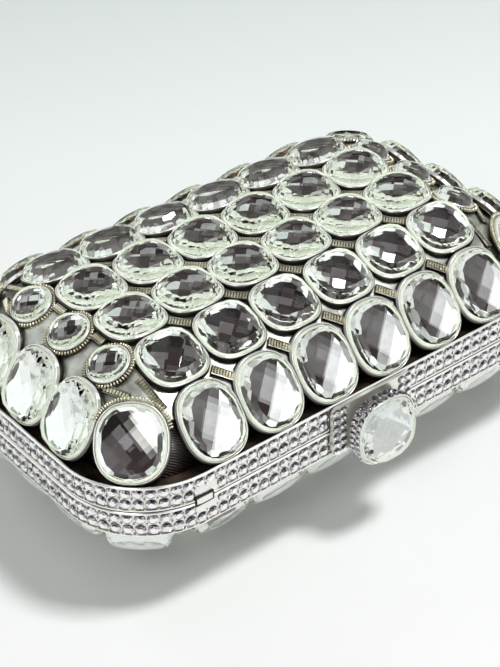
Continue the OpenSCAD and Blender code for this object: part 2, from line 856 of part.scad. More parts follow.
// Keeps what lies within width of each locating block's place
module front_slices(width) {
    for (side = [-1, 1]) intersection() {
        children();
        translate([side * block_x, -half_w, 0])
            cube([width, corner_r, 2 * (ledge_z + overrun)], center = true);
    }
}

knuckle_l = (hinge_l - 2 * knuckle_gap) / 3;

// One leaf with its knuckles: the lower leaf has the outer pair, the upper one the middle
module hinge_leaf(knuckle_starts) {
    translate([-hinge_l / 2, 0, half_gap]) cube([hinge_l, leaf_t, leaf_h - half_gap]);
    for (start = knuckle_starts)
        translate([start, 0, 0]) difference() {
            union() {
                translate([0, hinge_out, 0]) rotate([0, 90, 0])
                    cylinder(h = knuckle_l, r = knuckle_r);
                translate([0, 0, knuckle_r - leaf_t]) cube([knuckle_l, hinge_out, leaf_t]);
            }
            translate([-overrun, hinge_out, 0]) rotate([0, 90, 0])
                cylinder(h = knuckle_l + 2 * overrun, r = hinge_pin_r + pin_clearance);
        }
}

module both_hinges() {
    for (side = [-1, 1]) translate([side * hinge_x, half_w, 0]) children();
}

module lower_hinge_leaves() {
    color(CREAM_SILVER) lower_half() both_hinges()
        hinge_leaf([-hinge_l / 2, hinge_l / 2 - knuckle_l]);
}

module upper_hinge_leaves() {
    color(CREAM_SILVER) upper_half() both_hinges() hinge_leaf([-knuckle_l / 2]);
}

module hinge_pins() {
    color(STEEL) upper_half() both_hinges()
        translate([-hinge_l / 2, hinge_out, 0]) rotate([0, 90, 0])
            cylinder(h = hinge_l, r = hinge_pin_r);
}

// Plate over both frames, seated on the lower one and clear of the upper one
module clasp_plate() {
    color(CREAM_SILVER) on_front() difference() {
        linear_extrude(plate_t) rounded_outline(plate_w, plate_h, plate_r);
        translate([-plate_w / 2 - overrun, -half_gap, -overrun])
            cube([plate_w + 2 * overrun, plate_h, overrun + plate_clear]);
        translate([0, -stem_drop, -overrun])
            cylinder(h = plate_t + 2 * overrun, r = stem_r + stem_clearance);
    }
}

module rounded_outline(width, height, radius) {
    square([width - 2 * radius, height], center = true);
    square([width, height - 2 * radius], center = true);
    for (side_x = [-1, 1], side_y = [-1, 1])
        translate([side_x * (width / 2 - radius), side_y * (height / 2 - radius)])
            circle(radius);
}

// Small stone with its flat back at height 0
module clasp_stone() {
    cylinder(h = clasp_stone_r * band_stone_h / band_stone_r, r1 = clasp_stone_r,
        r2 = clasp_stone_r * band_table_r / band_stone_r);
}

// Columns of small stones on the plate, to the left and right of the button
module clasp_plate_crystals() {
    rows = floor((plate_h - 2 * plate_edge) / clasp_pitch);
    row_step = (plate_h - 2 * plate_edge) / rows;
    first = plate_w / 2 - plate_edge - clasp_stone_r;
    cols = floor((first - collar_w / 2 - clasp_stone_r) / clasp_pitch) + 1;
    color(PAVE) on_front()
        for (side = [-1, 1], i = [0:1:cols - 1], j = [0:rows - 1])
            translate([side * (first - i * clasp_pitch), (j + 0.5) * row_step + plate_edge
                - plate_h / 2, plate_t]) clasp_stone();
}

module at_button() {
    on_front() translate([0, -button_drop, 0]) children();
}

// Collar of the button, hollow towards the plate to house the spring
module clasp_collar() {
    color(SILVER) at_button() translate([0, 0, collar_u]) difference() {
        linear_extrude(collar_l) polygon(cushion(collar_w / 2, collar_w / 2, face_power));
        translate([0, 0, -overrun]) linear_extrude(collar_l + overrun - collar_floor)
            polygon(cushion(collar_w / 2 - collar_wall, collar_w / 2 - collar_wall, face_power));
    }
}

// Small stones in two rings round the collar, one ring on each flat of its outline
module clasp_collar_crystals() {
    outline = cushion(collar_w / 2, collar_w / 2, face_power);
    rings = floor(collar_l / (2 * clasp_stone_r));
    color(PAVE) at_button()
        for (i = [0:cushion_sides - 1], ring = [0:rings - 1]) {
            here = outline[i];
            next = outline[(i + 1) % cushion_sides];
            middle = (here + next) / 2;
            out = atan2(here[0] - next[0], next[1] - here[1]);
            translate([middle[0], middle[1], collar_u + (ring + 0.5) * collar_l / rings])
                rotate([0, 0, out]) rotate([0, 90, 0]) clasp_stone();
        }
}

module clasp_bezel() {
    color(SILVER) at_button() translate([0, 0, clasp_edge_u])
        bezel(clasp_w / 2, clasp_l / 2, clasp_power, clasp_stone_d);
}

module clasp_crystal() {
    color(CRYSTAL) at_button() translate([0, 0, clasp_edge_u])
        crystal(clasp_w / 2, clasp_l / 2, clasp_power, clasp_crown_h, clasp_stone_d);
}

module clasp_stem() {
    tip_gap = leaf_u - catch_t - hook_gap;
    color(STEEL) on_front() translate([0, -stem_drop, -tip_gap])
        cylinder(h = tip_gap + collar_end - collar_floor, r = stem_r);
}

// Coil round the stem from the plate to the collar's floor, swept along its own helix
module return_spring() {
    coil_start = plate_t + wire_r + seat_slack;
    coil_end = collar_end - collar_floor - wire_r - seat_slack;
    rings_per_turn = 8;
    wire_sides = 6;
    count = coil_turns * rings_per_turn;
    function on_coil(angle, out, up) = [(coil_r + out) * cos(angle), (coil_r + out) * sin(angle),
        coil_start + (coil_end - coil_start) * angle / (360 * coil_turns) + up];
    rings = [for (i = [0:count]) [for (j = [0:wire_sides - 1])
        on_coil(i * 360 / rings_per_turn, wire_r * cos(j * 360 / wire_sides),
            wire_r * sin(j * 360 / wire_sides))]];
    color(STEEL) on_front() translate([0, -stem_drop, 0]) loft(reversed(rings));
}

// Leaf spring on the lower ledge, with the hook that holds the upper frame's strike
module catch_spring() {
    foot_u = band_wall + seat_slack;
    color(STEEL) on_front() {
        rotate([0, -90, 0]) translate([0, 0, -catch_w / 2])
            linear_extrude(catch_w) polygon([
                [-leaf_u, -ledge_z], [-foot_u, -ledge_z], [-foot_u, -ledge_z + catch_t],
                [-leaf_u + catch_t, -ledge_z + catch_t], [-leaf_u + catch_t, hook_z],
                [-leaf_u + catch_t + hook_gap + hook_reach, hook_z], [-leaf_u, hook_z + hook_t]
            ]);
        translate([-foot_w / 2, -ledge_z, -leaf_u])
            cube([foot_w, catch_t, leaf_u - foot_u]);
    }
}

module catch_screws() {
    screw_x = (catch_w + foot_w) / 4;
    color(STEEL) on_front()
        for (side = [-1, 1])
            translate([side * screw_x, catch_t - ledge_z, -(band_wall + leaf_u) / 2])
                rotate([-90, 0, 0]) cylinder(h = screw_h, r = screw_r);
}

// Strike on the upper frame: a root against wall and ledge, and a lip under the hook
module strike() {
    color(STEEL) on_front() {
        translate([-strike_w / 2, lip_z, -band_wall - strike_t])
            cube([strike_w, ledge_z - lip_z, strike_t]);
        translate([-strike_w / 2, lip_z, -band_wall - lip_l]) cube([strike_w, lip_t, lip_l]);
    }
}

lower_frame();
upper_frame();
lower_shell();
upper_shell();
lower_lining();
upper_lining();
lower_face_bezels();
upper_face_bezels();
lower_wall_bezels();
upper_wall_bezels();
lower_corner_bezels();
upper_corner_bezels();
lower_round_bezels();
upper_round_bezels();
lower_face_crystals();
upper_face_crystals();
lower_wall_crystals();
upper_wall_crystals();
lower_corner_crystals();
upper_corner_crystals();
lower_round_crystals();
upper_round_crystals();
lower_bridges();
upper_bridges();
lower_band_crystals();
upper_band_crystals();
locating_blocks();
lower_hinge_leaves();
upper_hinge_leaves();
hinge_pins();
clasp_plate();
clasp_plate_crystals();
clasp_collar();
clasp_collar_crystals();
clasp_bezel();
clasp_crystal();
clasp_stem();
return_spring();
catch_spring();
catch_screws();
strike();
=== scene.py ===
"""Crystal-set box clutch: the looks of its stones, settings, frames, shells and lining."""
import math

import bmesh
import bpy
import numpy as np
from mathutils import Matrix, Vector


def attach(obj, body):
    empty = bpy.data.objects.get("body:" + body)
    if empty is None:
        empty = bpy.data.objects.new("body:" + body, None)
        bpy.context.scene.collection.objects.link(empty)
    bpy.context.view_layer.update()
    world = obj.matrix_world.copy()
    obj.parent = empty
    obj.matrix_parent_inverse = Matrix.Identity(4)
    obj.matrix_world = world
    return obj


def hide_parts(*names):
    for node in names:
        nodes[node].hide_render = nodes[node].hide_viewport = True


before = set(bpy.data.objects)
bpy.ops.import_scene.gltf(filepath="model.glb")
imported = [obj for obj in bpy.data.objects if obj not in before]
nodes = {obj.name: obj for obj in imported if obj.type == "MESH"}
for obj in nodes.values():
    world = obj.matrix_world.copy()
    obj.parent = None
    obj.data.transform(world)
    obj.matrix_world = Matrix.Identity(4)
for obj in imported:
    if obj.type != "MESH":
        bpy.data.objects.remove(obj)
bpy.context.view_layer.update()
MM = 0.001

# Sizes of the solids, in millimetres
ORIGIN_Y, PARTING_Z = 2.65, 29.9
HALF_L, HALF_W, CORNER_R = 74.4, 47.6, 23.4
FACE_H, SETBACK, POWER, CROWN_R = 25.9, 3.7, 2.1, 4.0
BAND_H, GAP, PARTING_LIP, RIM_LIP, CHANNEL = 7.25, 0.15, 0.55, 0.5, 0.45
COLUMNS, COL_PITCH, ROW_PITCH, END_PITCH = 6, 17.0, 16.4, 17.0
BEZEL_WALL, BEZEL_D, STONE_GAP, BEZEL_GAP, WALL_GAP = 0.4, 1.9, 0.05, 0.35, 1.28
GIRDLE_D, GIRDLE_T = 0.35, 0.4
FACE_STONE, ROUND_STONE, CORNER_STONE = (8.025, 8.325), 5.6, (9.6, 8.8)
CROWN_H = 4.0
SHELL_D, SHELL_T, LEDGE_Z = 3.3, 1.2, 3.0
CROWN_X, CROWN_Y = 42.5, 8.2
RUN_X, RUN_Y = HALF_L - SETBACK - CROWN_X, HALF_W - SETBACK - CROWN_Y
WALL_E, END_E, ROUND_E, CORNER_E, CORNER_TURN = 0.87, 0.866, 0.448, 0.865, 48
CLASP_X, BUTTON_DROP, PLATE_T = -1.8, 1.7, 1.3
COLLAR_U, COLLAR_L, COLLAR_W = 2.5, 2.5, 16.4
CLASP_STONE, CLASP_RISE = (8.8, 9.1, 2.5), 3.2
PLATE_W, PLATE_H, HINGE_X, HINGE_L = 25.2, 14.2, 34.0, 20.0
BLOCK_X, BLOCK_W, BLOCK_H = 51.8, 4.4, 1.7

# Sizes of the visible pieces alone, in millimetres
STONE_DROP, DOWN_SLOPE, RIM_FLARE, RIM_SKIRT = 0.12, 0.35, 0.25, 0.17
GALLERY_IN, GALLERY_T, LINING_GAP, LINING_T, LINING_LOW, LINING_EDGE = 1.3, 0.4, 0.1, 0.3, 2.0, 0.8
QUILT, STITCH, SWELL, SUNK = 14.0, 1.5, 0.62, 0.12
LONG_BAR, SHORT_BAR, RIB_PITCH, RIB_R, RIB_OUT, RIB_SUNK = (5.6, 2.4, 8), (4.0, 2.0, 6), 0.8, 0.36, 0.55, 0.75
BAND_GEM, BAND_PITCH, BAND_ROOM, BEAD_R, BEAD_UP = (1.38, 0.74, 0.61), 3.08, 1.35, 0.3, 0.22
PLATE_GEM, PLATE_PITCH, PLATE_EDGE, PLATE_SPARE = (1.04, 0.56, 0.5), 2.2, 1.15, 0.3
SIDE_GEM, SIDE_SUNK, GRAIN_R, GRAIN_OUT = (0.8, 0.42, 0.42), 0.06, 0.22, 1.08


# The dome, by its formula
def share(e):
    """Height of the dome at a share e of its run, as a share of its full height."""
    return (1 - e ** POWER) ** (1 / POWER)


def tilt(e, run):
    """Slope of the dome there, as an angle."""
    if e <= 0:
        return 0.0
    return math.atan(FACE_H / run * e ** (POWER - 1) * (1 - e ** POWER) ** (1 / POWER - 1))


def dome_corner(e):
    radius = CROWN_R + (CORNER_R - SETBACK - CROWN_R) * e
    cut = radius * (1 - math.cos(math.radians(45)))
    return CROWN_X + RUN_X * e - cut, CROWN_Y + RUN_Y * e - cut


def on_dome(x, y, z, lean, azimuth):
    """Matrix with X down the slope and Z out of the dome, in millimetres over the parting plane."""
    return (Matrix.Translation((x, y, z)) @ Matrix.Rotation(math.radians(azimuth), 4, "Z")
            @ Matrix.Rotation(lean, 4, "Y"))


def level(i):
    """X of the i-th column."""
    return (i - (COLUMNS - 1) / 2) * COL_PITCH


FACE, WALL, END, ROUND, CORNER = [], [], [], [], []
for i in range(COLUMNS):
    for side in (-1, 1):
        for row in (0, 1):
            e = row * ROW_PITCH / RUN_Y
            FACE.append(on_dome(level(i), side * (row + 0.5) * ROW_PITCH, FACE_H * share(e),
                                tilt(e, RUN_Y), 90 * side))
        WALL.append(on_dome(level(i), side * (CROWN_Y + RUN_Y * WALL_E), FACE_H * share(WALL_E),
                            tilt(WALL_E, RUN_Y), 90 * side))
for side in (-1, 1):
    turn = 180 if side < 0 else 0
    for row in (-1, 0, 1):
        END.append(on_dome(side * (CROWN_X + RUN_X * END_E), row * END_PITCH, FACE_H * share(END_E),
                           tilt(END_E, RUN_X), turn))
        fall = max(0, abs(row) * ROW_PITCH - CROWN_Y) / RUN_Y
        ROUND.append(on_dome(side * (CROWN_X + RUN_X * ROUND_E), row * ROW_PITCH,
                             FACE_H * share(ROUND_E) * share(fall), tilt(ROUND_E, RUN_X), turn))
c0, c1, cs = dome_corner(0), dome_corner(1), dome_corner(CORNER_E)
corner_lean = tilt(CORNER_E, math.hypot(c1[0] - c0[0], c1[1] - c0[1]))
for sx in (-1, 1):
    for sy in (-1, 1):
        a = math.radians(CORNER_TURN)
        turn = math.degrees(math.atan2(sy * math.sin(a), sx * math.cos(a)))
        CORNER.append(on_dome(sx * cs[0], sy * cs[1], FACE_H * share(CORNER_E), corner_lean, turn))

UPPER = Matrix.Translation((0, ORIGIN_Y, PARTING_Z))
LOWER = UPPER @ Matrix.Scale(-1, 4, (0, 0, 1))
HALVES = (("upper", "lid", UPPER), ("lower", "base", LOWER))
FRONT = (Matrix.Translation((CLASP_X, ORIGIN_Y - HALF_W, PARTING_Z))
         @ Matrix.Rotation(math.radians(90), 4, "X"))
BUTTON = FRONT @ Matrix.Translation((0, -BUTTON_DROP, 0))


# Mesh helpers
def new_object(name, data):
    obj = bpy.data.objects.new(name, data)
    bpy.context.scene.collection.objects.link(obj)
    return obj


class Mesh:
    """Collects many small solids into one mesh, with a tone for each face: the painted lightness of its
    reflection.
    """

    def __init__(self):
        self.verts, self.faces, self.mats, self.smooth, self.tone = [], [], [], [], []
        self.count = 0

    def add(self, verts, faces, mats, matrix, smooth=False, tone=None):
        """Adds a solid in millimetres. Tone is each facet's painted reflection, a lightness: facets facing up
        are painted darker, and each varies a little at random.
        """
        painted_dark_facing_up, uneven, plain = 0.5, 0.18, 0.5
        m = np.array(matrix)
        v = np.asarray(verts, float) @ m[:3, :3].T + m[:3, 3]
        self.verts.append(v * MM)
        flip = np.linalg.det(m[:3, :3]) < 0
        for k, f in enumerate(faces):
            if tone:
                a, b, c = v[f[0]], v[f[1]], v[f[2]]
                across = np.cross(b - a, c - a) * (-1 if flip else 1)
                up = across[2] / (np.linalg.norm(across) + 1e-9)
                # painted reflection: the facet's given lightness, darker the more it faces up
                self.tone.append(tone[k] - painted_dark_facing_up * up + wobble(self.count + 7 * k, -uneven, uneven))
            else:
                self.tone.append(plain)
            f = [j + self.count for j in f]
            self.faces.append(f[::-1] if flip else f)
            self.mats.append(mats[k] if mats is not None else 0)
            self.smooth.append(smooth)
        self.count += len(v)

    def build(self, name, materials, body, slot, replaced=()):
        mesh = bpy.data.meshes.new(name)
        mesh.from_pydata(np.concatenate(self.verts).tolist(), [], self.faces)
        for m in materials:
            mesh.materials.append(m)
        mesh.polygons.foreach_set("material_index", self.mats)
        mesh.polygons.foreach_set("use_smooth", self.smooth)
        layer = mesh.attributes.new("tone", "FLOAT", "FACE")
        layer.data.foreach_set("value", self.tone)
        mesh.update()
        obj = new_object(name, mesh)
        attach(obj, body)
        if replaced:
            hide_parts(*replaced)
        return obj


def wobble(k, a, b):
    """A repeatable value between a and b for the k-th piece."""
    return a + (b - a) * ((math.sin(k * 12.9898 + 4.1) * 43758.5453) % 1.0)


def rounded(c, power):
    """A cosine or sine raised to a power, with its sign kept."""
    return math.copysign(abs(c) ** power, c)


def cushion(hx, hy, power, n):
    """Points round a cushion outline."""
    t = np.arange(n) * 2 * math.pi / n
    c, s = np.cos(t), np.sin(t)
    return np.stack([hx * np.sign(c) * np.abs(c) ** (2 / power),
                     hy * np.sign(s) * np.abs(s) ** (2 / power)], 1)


def wall_faces(lower, upper, n):
    """Quads between two rings of n points each, by the numbers of their first points."""
    return [(lower + k, lower + (k + 1) % n, upper + (k + 1) % n, upper + k) for k in range(n)]


def cut_stone(hx, hy, power, rise, pitch, spin, shift):
    """Stone with a checkerboard dome: tangent planes on a diagonal lattice, and a bevelled ring.

    Its faces are glass (0), the mirror foil behind (1) and the foil's pale edge (2).
    """
    sides, foil_share, seat, spare = 48, 0.80, -GIRDLE_D - GIRDLE_T, 2
    rx, ry = hx - BEZEL_WALL - STONE_GAP, hy - BEZEL_WALL - STONE_GAP
    rise -= STONE_DROP
    outline = cushion(rx, ry, power, sides)
    bm = bmesh.new()
    low = [bm.verts.new((x, y, seat)) for x, y in outline]
    top = [bm.verts.new((x, y, rise + spare)) for x, y in outline]
    inner = [bm.verts.new((x * foil_share, y * foil_share, seat)) for x, y in outline]
    bm.faces.new(inner[::-1]).material_index = 1
    bm.faces.new(top)
    for k in range(sides):
        q = (k + 1) % sides
        bm.faces.new((low[k], inner[k], inner[q], low[q])).material_index = 2
        bm.faces.new((low[k], low[q], top[q], top[k])).material_index = 2

    def cut(point, normal):
        geom = bm.verts[:] + bm.edges[:] + bm.faces[:]
        done = bmesh.ops.bisect_plane(bm, geom=geom, plane_co=point, plane_no=normal,
                                      clear_outer=True, dist=1e-5)
        edges = [e for e in done["geom_cut"] if isinstance(e, bmesh.types.BMEdge)]
        if len(edges) > 2:
            made = bmesh.ops.contextual_create(bm, geom=edges)
            for f in made["faces"]:
                f.material_index = 0

    # the ring's two tiers of bevels: how many, how far out, how high and how steep
    tiers = ((24, 1.0, -GIRDLE_D, 68), (14, 0.93, 0.38 * rise, 50))
    for tier, (count, out, height, angle) in enumerate(tiers):
        a = math.radians(angle)
        for k in range(count):
            t = (k + 0.5 * tier) * 2 * math.pi / count
            c, s = math.cos(t), math.sin(t)
            nx, ny = rounded(c, 2 - 2 / power) / rx, rounded(s, 2 - 2 / power) / ry
            flat = math.hypot(nx, ny)
            cut((rx * out * rounded(c, 2 / power), ry * out * rounded(s, 2 / power), height),
                (nx / flat * math.sin(a), ny / flat * math.sin(a), math.cos(a)))
    # the dome inside the ring, which falls to its shoulder
    shoulder, shoulder_z, lattice_edge = 0.8, 0.78 * rise, 0.92
    kx, ky = (rise - shoulder_z) / (rx * shoulder) ** 2, (rise - shoulder_z) / (ry * shoulder) ** 2
    scale = math.sqrt(rx * ry)
    sx, sy = rx / scale, ry / scale
    turn = math.radians(45 + spin)
    reach = int(math.ceil(scale / pitch)) + 1
    for i in range(-reach, reach + 1):
        for j in range(-reach, reach + 1):
            u, v = (i + shift[0]) * pitch, (j + shift[1]) * pitch
            x = (u * math.cos(turn) - v * math.sin(turn)) * sx
            y = (u * math.sin(turn) + v * math.cos(turn)) * sy
            if (x / rx) ** 2 + (y / ry) ** 2 <= lattice_edge:
                cut((x, y, rise - kx * x * x - ky * y * y), (2 * kx * x, 2 * ky * y, 1))
    bm.verts.index_update()
    verts = [tuple(v.co) for v in bm.verts]
    faces = [[v.index for v in f.verts] for f in bm.faces]
    mats = [f.material_index for f in bm.faces]
    bm.free()
    return verts, faces, mats


def bezel_rim(hx, hy, power, flare=0.0, skirt=0.0):
    """Rounded rim round a stone, over a dark outer foot of painted shade, which a flare or a skirt widens.

    Each ring of the profile is an offset inwards and a height. Its faces are bright (0) or dark with painted
    shade (1).
    """
    n, foot = 56, -flare - skirt
    side = (foot, -0.42) if skirt else (foot * 0.6, -0.32 - 2.6 * flare)
    profile = [(foot, -BEZEL_D), side, (0.0, -0.3), (0.03, -0.12), (0.1, -0.02), (0.19, 0.0),
               (0.3, -0.05), (0.39, -0.16), (0.44, -0.3), (0.43, -0.45), (0.43, -BEZEL_D)]
    verts = [(x, y, z) for inwards, z in profile for x, y in cushion(hx - inwards, hy - inwards, power, n)]
    faces, m = [], len(profile)
    for i in range(m):
        faces += wall_faces(i * n, (i + 1) % m * n, n)
    # painted shade: the lowest one or two rings of faces take the dark metal, for the gaps between rims
    dark_rings = 2 if skirt else 1
    return verts, faces, [1] * dark_rings * n + [0] * (m - dark_rings) * n


def small_stone(radius, table, height):
    """Round stone with a table, star facets and kites; and each facet's painted reflection, as a lightness.
    """
    sides, verts = 8, []
    tiers = ((0, radius, sides * 2, 0), (0.12 * radius, radius, sides * 2, 0),
             (height * 0.62, (radius + table) * 0.5, sides, 0.5), (height, table, sides, 0))
    for z, r, n, off in tiers:
        for k in range(n):
            t = (k + off) * 2 * math.pi / n
            verts.append((r * math.cos(t), r * math.sin(t), z))
    girdle, middle, top = sides * 2, sides * 4, sides * 5
    faces = [list(range(girdle))[::-1]] + wall_faces(0, girdle, girdle)
    # painted reflection: each kind of facet gets its own lightness, the table lightest and the girdle darkest
    light = [0.3] + [0.1] * girdle
    for k in range(sides):
        q, before = (k + 1) % sides, (k - 1) % sides
        corner, between_corners = girdle + 2 * k, girdle + 2 * k + 1
        faces.append((corner, between_corners, middle + k))
        faces.append((between_corners, girdle + (2 * k + 2) % girdle, middle + k))
        faces.append((corner, middle + k, top + k, middle + before))
        faces.append((middle + k, top + q, top + k))
        light += [0.30, 0.34, 0.48, 0.56]
    faces.append([top + k for k in range(sides)])
    light.append(0.66)
    return (verts, faces, None), light


def ball(radius):
    """Coarse ball."""
    rings, sides = 4, 6
    verts = [(0, 0, -radius)]
    for i in range(1, rings):
        a = math.pi * i / rings - math.pi / 2
        for k in range(sides):
            t = 2 * math.pi * k / sides
            verts.append((radius * math.cos(a) * math.cos(t), radius * math.cos(a) * math.sin(t),
                          radius * math.sin(a)))
    verts.append((0, 0, radius))
    faces = [(0, 1 + (k + 1) % sides, 1 + k) for k in range(sides)]
    for i in range(rings - 2):
        faces += wall_faces(1 + i * sides, 1 + (i + 1) * sides, sides)
    last, a = len(verts) - 1, 1 + (rings - 2) * sides
    faces += [(a + k, a + (k + 1) % sides, last) for k in range(sides)]
    return verts, faces, None


# Node helpers
def add_node(tree, kind, feeds=None, out=None, **settings):
    """Adds a node and feeds its inputs, each with a link from a socket or with a constant."""
    node = tree.nodes.new("ShaderNode" + kind)
    for key, value in settings.items():
        setattr(node, key, value)
    for key, value in (feeds or {}).items():
        if isinstance(value, bpy.types.NodeSocket):
            tree.links.new(value, node.inputs[key])
        else:
            node.inputs[key].default_value = value
    return node.outputs[out] if out else node


def calc(tree, operation, *terms):
    return add_node(tree, "Math", dict(enumerate(terms)), "Value", operation=operation)


def vector_op(tree, operation, *terms, out="Vector"):
    return add_node(tree, "VectorMath", dict(enumerate(terms)), out, operation=operation)


def span(tree, value, start, end, low=0.0, high=1.0):
    """Carries the range from start to end over to the range from low to high, and stops at both ends."""
    return add_node(tree, "MapRange", {"Value": value, "From Min": start, "From Max": end,
                                       "To Min": low, "To Max": high}, "Result")


def height_of(tree, vector):
    return add_node(tree, "SeparateXYZ", {"Vector": vector}, "Z")


def mix(tree, factor, a, b, blend="MIX"):
    return add_node(tree, "Mix", {"Factor": factor, "A": a, "B": b}, "Result",
                    data_type="RGBA", blend_type=blend)


def mix_shader(tree, factor, a, b):
    return add_node(tree, "MixShader", {"Fac": factor, 1: a, 2: b}, "Shader")


def coords(tree):
    return add_node(tree, "TexCoord", out="Object")


def noise(tree, where, scale, detail):
    return add_node(tree, "TexNoise", {"Vector": where, "Scale": scale, "Detail": detail}, "Fac")


def wave(tree, where, way, scale, distortion):
    return add_node(tree, "TexWave", {"Vector": where, "Scale": scale, "Distortion": distortion}, "Fac",
                    bands_direction=way)


def square_cells(tree, where, scale, randomness=1.0):
    """One value for each of many square cells."""
    cells = add_node(tree, "TexVoronoi", {"Vector": where, "Scale": scale, "Randomness": randomness},
                     "Color", distance="CHEBYCHEV")
    return add_node(tree, "SeparateColor", {"Color": cells}, "Red")


def ramp(tree, fac, stops, stepped=False):
    node = add_node(tree, "ValToRGB", {"Fac": fac})
    bar = node.color_ramp
    bar.elements[0].position, bar.elements[0].color = stops[0][0], (*stops[0][1], 1)
    bar.elements[1].position, bar.elements[1].color = stops[-1][0], (*stops[-1][1], 1)
    for place, colour in stops[1:-1]:
        bar.elements.new(place).color = (*colour, 1)
    if stepped:
        bar.interpolation = "CONSTANT"
    return node.outputs["Color"]


def bump(tree, height, strength, distance):
    return add_node(tree, "Bump", {"Height": height, "Strength": strength, "Distance": distance})


# Materials
def material(name, **sockets):
    """New material with these constants on its shader: the material, its tree and the shader."""
    mat = bpy.data.materials.new(name)
    mat.use_nodes = True
    shader = mat.node_tree.nodes["Principled BSDF"]
    for key, value in sockets.items():
        shader.inputs[key.replace("_", " ")].default_value = value
    return mat, mat.node_tree, shader


def ledge_shade_mask(tree, where):
    """Mask for painted shade: 1 on the frames' outer ledges, further in than the wall and away from the
    parting.
    """
    centred = vector_op(tree, "SUBTRACT", where, (0, ORIGIN_Y * MM, PARTING_Z * MM))
    near = vector_op(tree, "ABSOLUTE", centred)
    past = vector_op(tree, "SUBTRACT", near, ((HALF_L - CORNER_R) * MM, (HALF_W - CORNER_R) * MM, 0))
    past = vector_op(tree, "MAXIMUM", past, (0, 0, 0))
    reach = vector_op(tree, "LENGTH", vector_op(tree, "MULTIPLY", past, (1, 1, 0)), out="Value")
    wall, low_z, high_z = (1.0, 1.25), 0.0036, 0.0040
    inside = span(tree, reach, (CORNER_R - wall[0]) * MM, (CORNER_R - wall[1]) * MM)
    return calc(tree, "MULTIPLY", inside, span(tree, height_of(tree, near), low_z, high_z))


def metal(name, light, dark, low, high, grain=900, strength=0.06, shine=1.0, reach=0.003,
          ledge_shade=False):
    """Polished cast metal with faint mottling, painted shade in its crevices and a fine uneven surface.

    Its roughness runs from low to high, and its painted crevice shade reaches that far in metres.
    """
    mat, tree, shader = material(name, Metallic=shine)
    where = coords(tree)
    wide = noise(tree, where, 160, 4)
    # painted shade: the colour darkens where ambient occlusion finds a crevice
    shade_from_occlusion = add_node(tree, "AmbientOcclusion", {"Distance": reach}, "AO", samples=6)
    colour = mix(tree, 1.0, ramp(tree, wide, [(0.3, dark), (0.62, light)]),
                 ramp(tree, shade_from_occlusion, [(0.12, (0.10, 0.085, 0.07)), (0.34, (0.55, 0.53, 0.47)),
                                     (0.55, (1, 1, 1))]), "MULTIPLY")
    # painted shade: dark brown on the frames' outer ledges, under the stones
    if ledge_shade:
        shade = ramp(tree, wide, [(0.35, (0.03, 0.02, 0.014)), (0.7, (0.16, 0.11, 0.08))])
        colour = mix(tree, ledge_shade_mask(tree, where), colour, shade)
    fine = noise(tree, where, grain, 3)
    tree.links.new(colour, shader.inputs["Base Color"])
    tree.links.new(span(tree, fine, 0.0, 1.0, low, high), shader.inputs["Roughness"])
    tree.links.new(bump(tree, fine, strength, 0.00015).outputs["Normal"], shader.inputs["Normal"])
    return mat


def crystal(name, tint):
    """Clear glass with a faint, uneven tint."""
    mat, tree, shader = material(name, Roughness=0.0, IOR=1.5, Transmission_Weight=1.0)
    pale = tuple(min(1, c + 0.02) for c in tint)
    colour = ramp(tree, noise(tree, coords(tree), 60, 2), [(0.35, tint), (0.65, pale)])
    tree.links.new(colour, shader.inputs["Base Color"])
    return mat


def mirror_foil():
    """Mirror behind the middle of a stone."""
    mat, tree, shader = material("stone_foil", Metallic=1.0, Roughness=0.015)
    light = (0.95, 0.955, 0.955)
    dark = tuple(c * 0.93 for c in light)
    colour = ramp(tree, noise(tree, coords(tree), 700, 2), [(0.3, dark), (0.6, light)])
    tree.links.new(colour, shader.inputs["Base Color"])
    return mat


def pale_foil():
    """Matt silver-mint edge of a stone's foil, seen through the bright ring round it."""
    mat, tree, shader = material("pale_foil", Roughness=0.35, Metallic=0.0)
    soft = noise(tree, coords(tree), 420, 3)
    colour = ramp(tree, soft, [(0.22, (0.48, 0.53, 0.38)), (0.36, (0.88, 0.94, 0.80)),
                               (0.75, (0.98, 1.0, 0.93))])
    tree.links.new(colour, shader.inputs["Base Color"])
    tree.links.new(bump(tree, soft, 0.2, 0.0003).outputs["Normal"], shader.inputs["Normal"])
    return mat


def pave():
    """Foiled rhinestones: every facet shows its painted reflection, a tone from dark violet-grey to white."""
    mat, tree, shader = material("pave_crystal", Metallic=0.8, Roughness=0.06)
    # painted reflection: each facet's given lightness becomes its colour
    tone = add_node(tree, "Attribute", out="Fac", attribute_name="tone")
    colour = ramp(tree, tone, [(0.0, (0.07, 0.065, 0.07)), (0.24, (0.24, 0.23, 0.25)),
                               (0.42, (0.72, 0.71, 0.73)), (0.56, (0.97, 0.97, 0.97)),
                               (1.0, (1.0, 1.0, 1.0))])
    tree.links.new(colour, shader.inputs["Base Color"])
    return mat


def ribbed_satin():
    """Fine ribbed silver-grey metal of the inner shell, with painted shade that turns it dark brown near the
    frames.
    """
    mat, tree, shader = material("ribbed_satin", Roughness=0.34, Metallic=0.75)
    where = coords(tree)
    ribs = wave(tree, where, "DIAGONAL", 620, 0.4)
    pale = ramp(tree, noise(tree, where, 70, 3), [(0.35, (0.10, 0.075, 0.065)), (0.50, (0.36, 0.38, 0.36)),
                                                  (0.70, (0.66, 0.70, 0.68))])
    ribbed = mix(tree, 0.75, pale, ramp(tree, ribs, [(0.2, (0.35, 0.35, 0.35)), (0.8, (1, 1, 1))]),
                 "MULTIPLY")
    # painted shade: the shell turns near-black brown low down, by the frames, under the stones
    height = vector_op(tree, "ABSOLUTE", vector_op(tree, "SUBTRACT", where, (0, 0, PARTING_Z * MM)))
    colour = mix(tree, span(tree, height_of(tree, height), 0.0045, 0.0125), (0.028, 0.018, 0.014, 1), ribbed)
    tree.links.new(colour, shader.inputs["Base Color"])
    tree.links.new(bump(tree, ribs, 0.6, 0.0002).outputs["Normal"], shader.inputs["Normal"])
    return mat


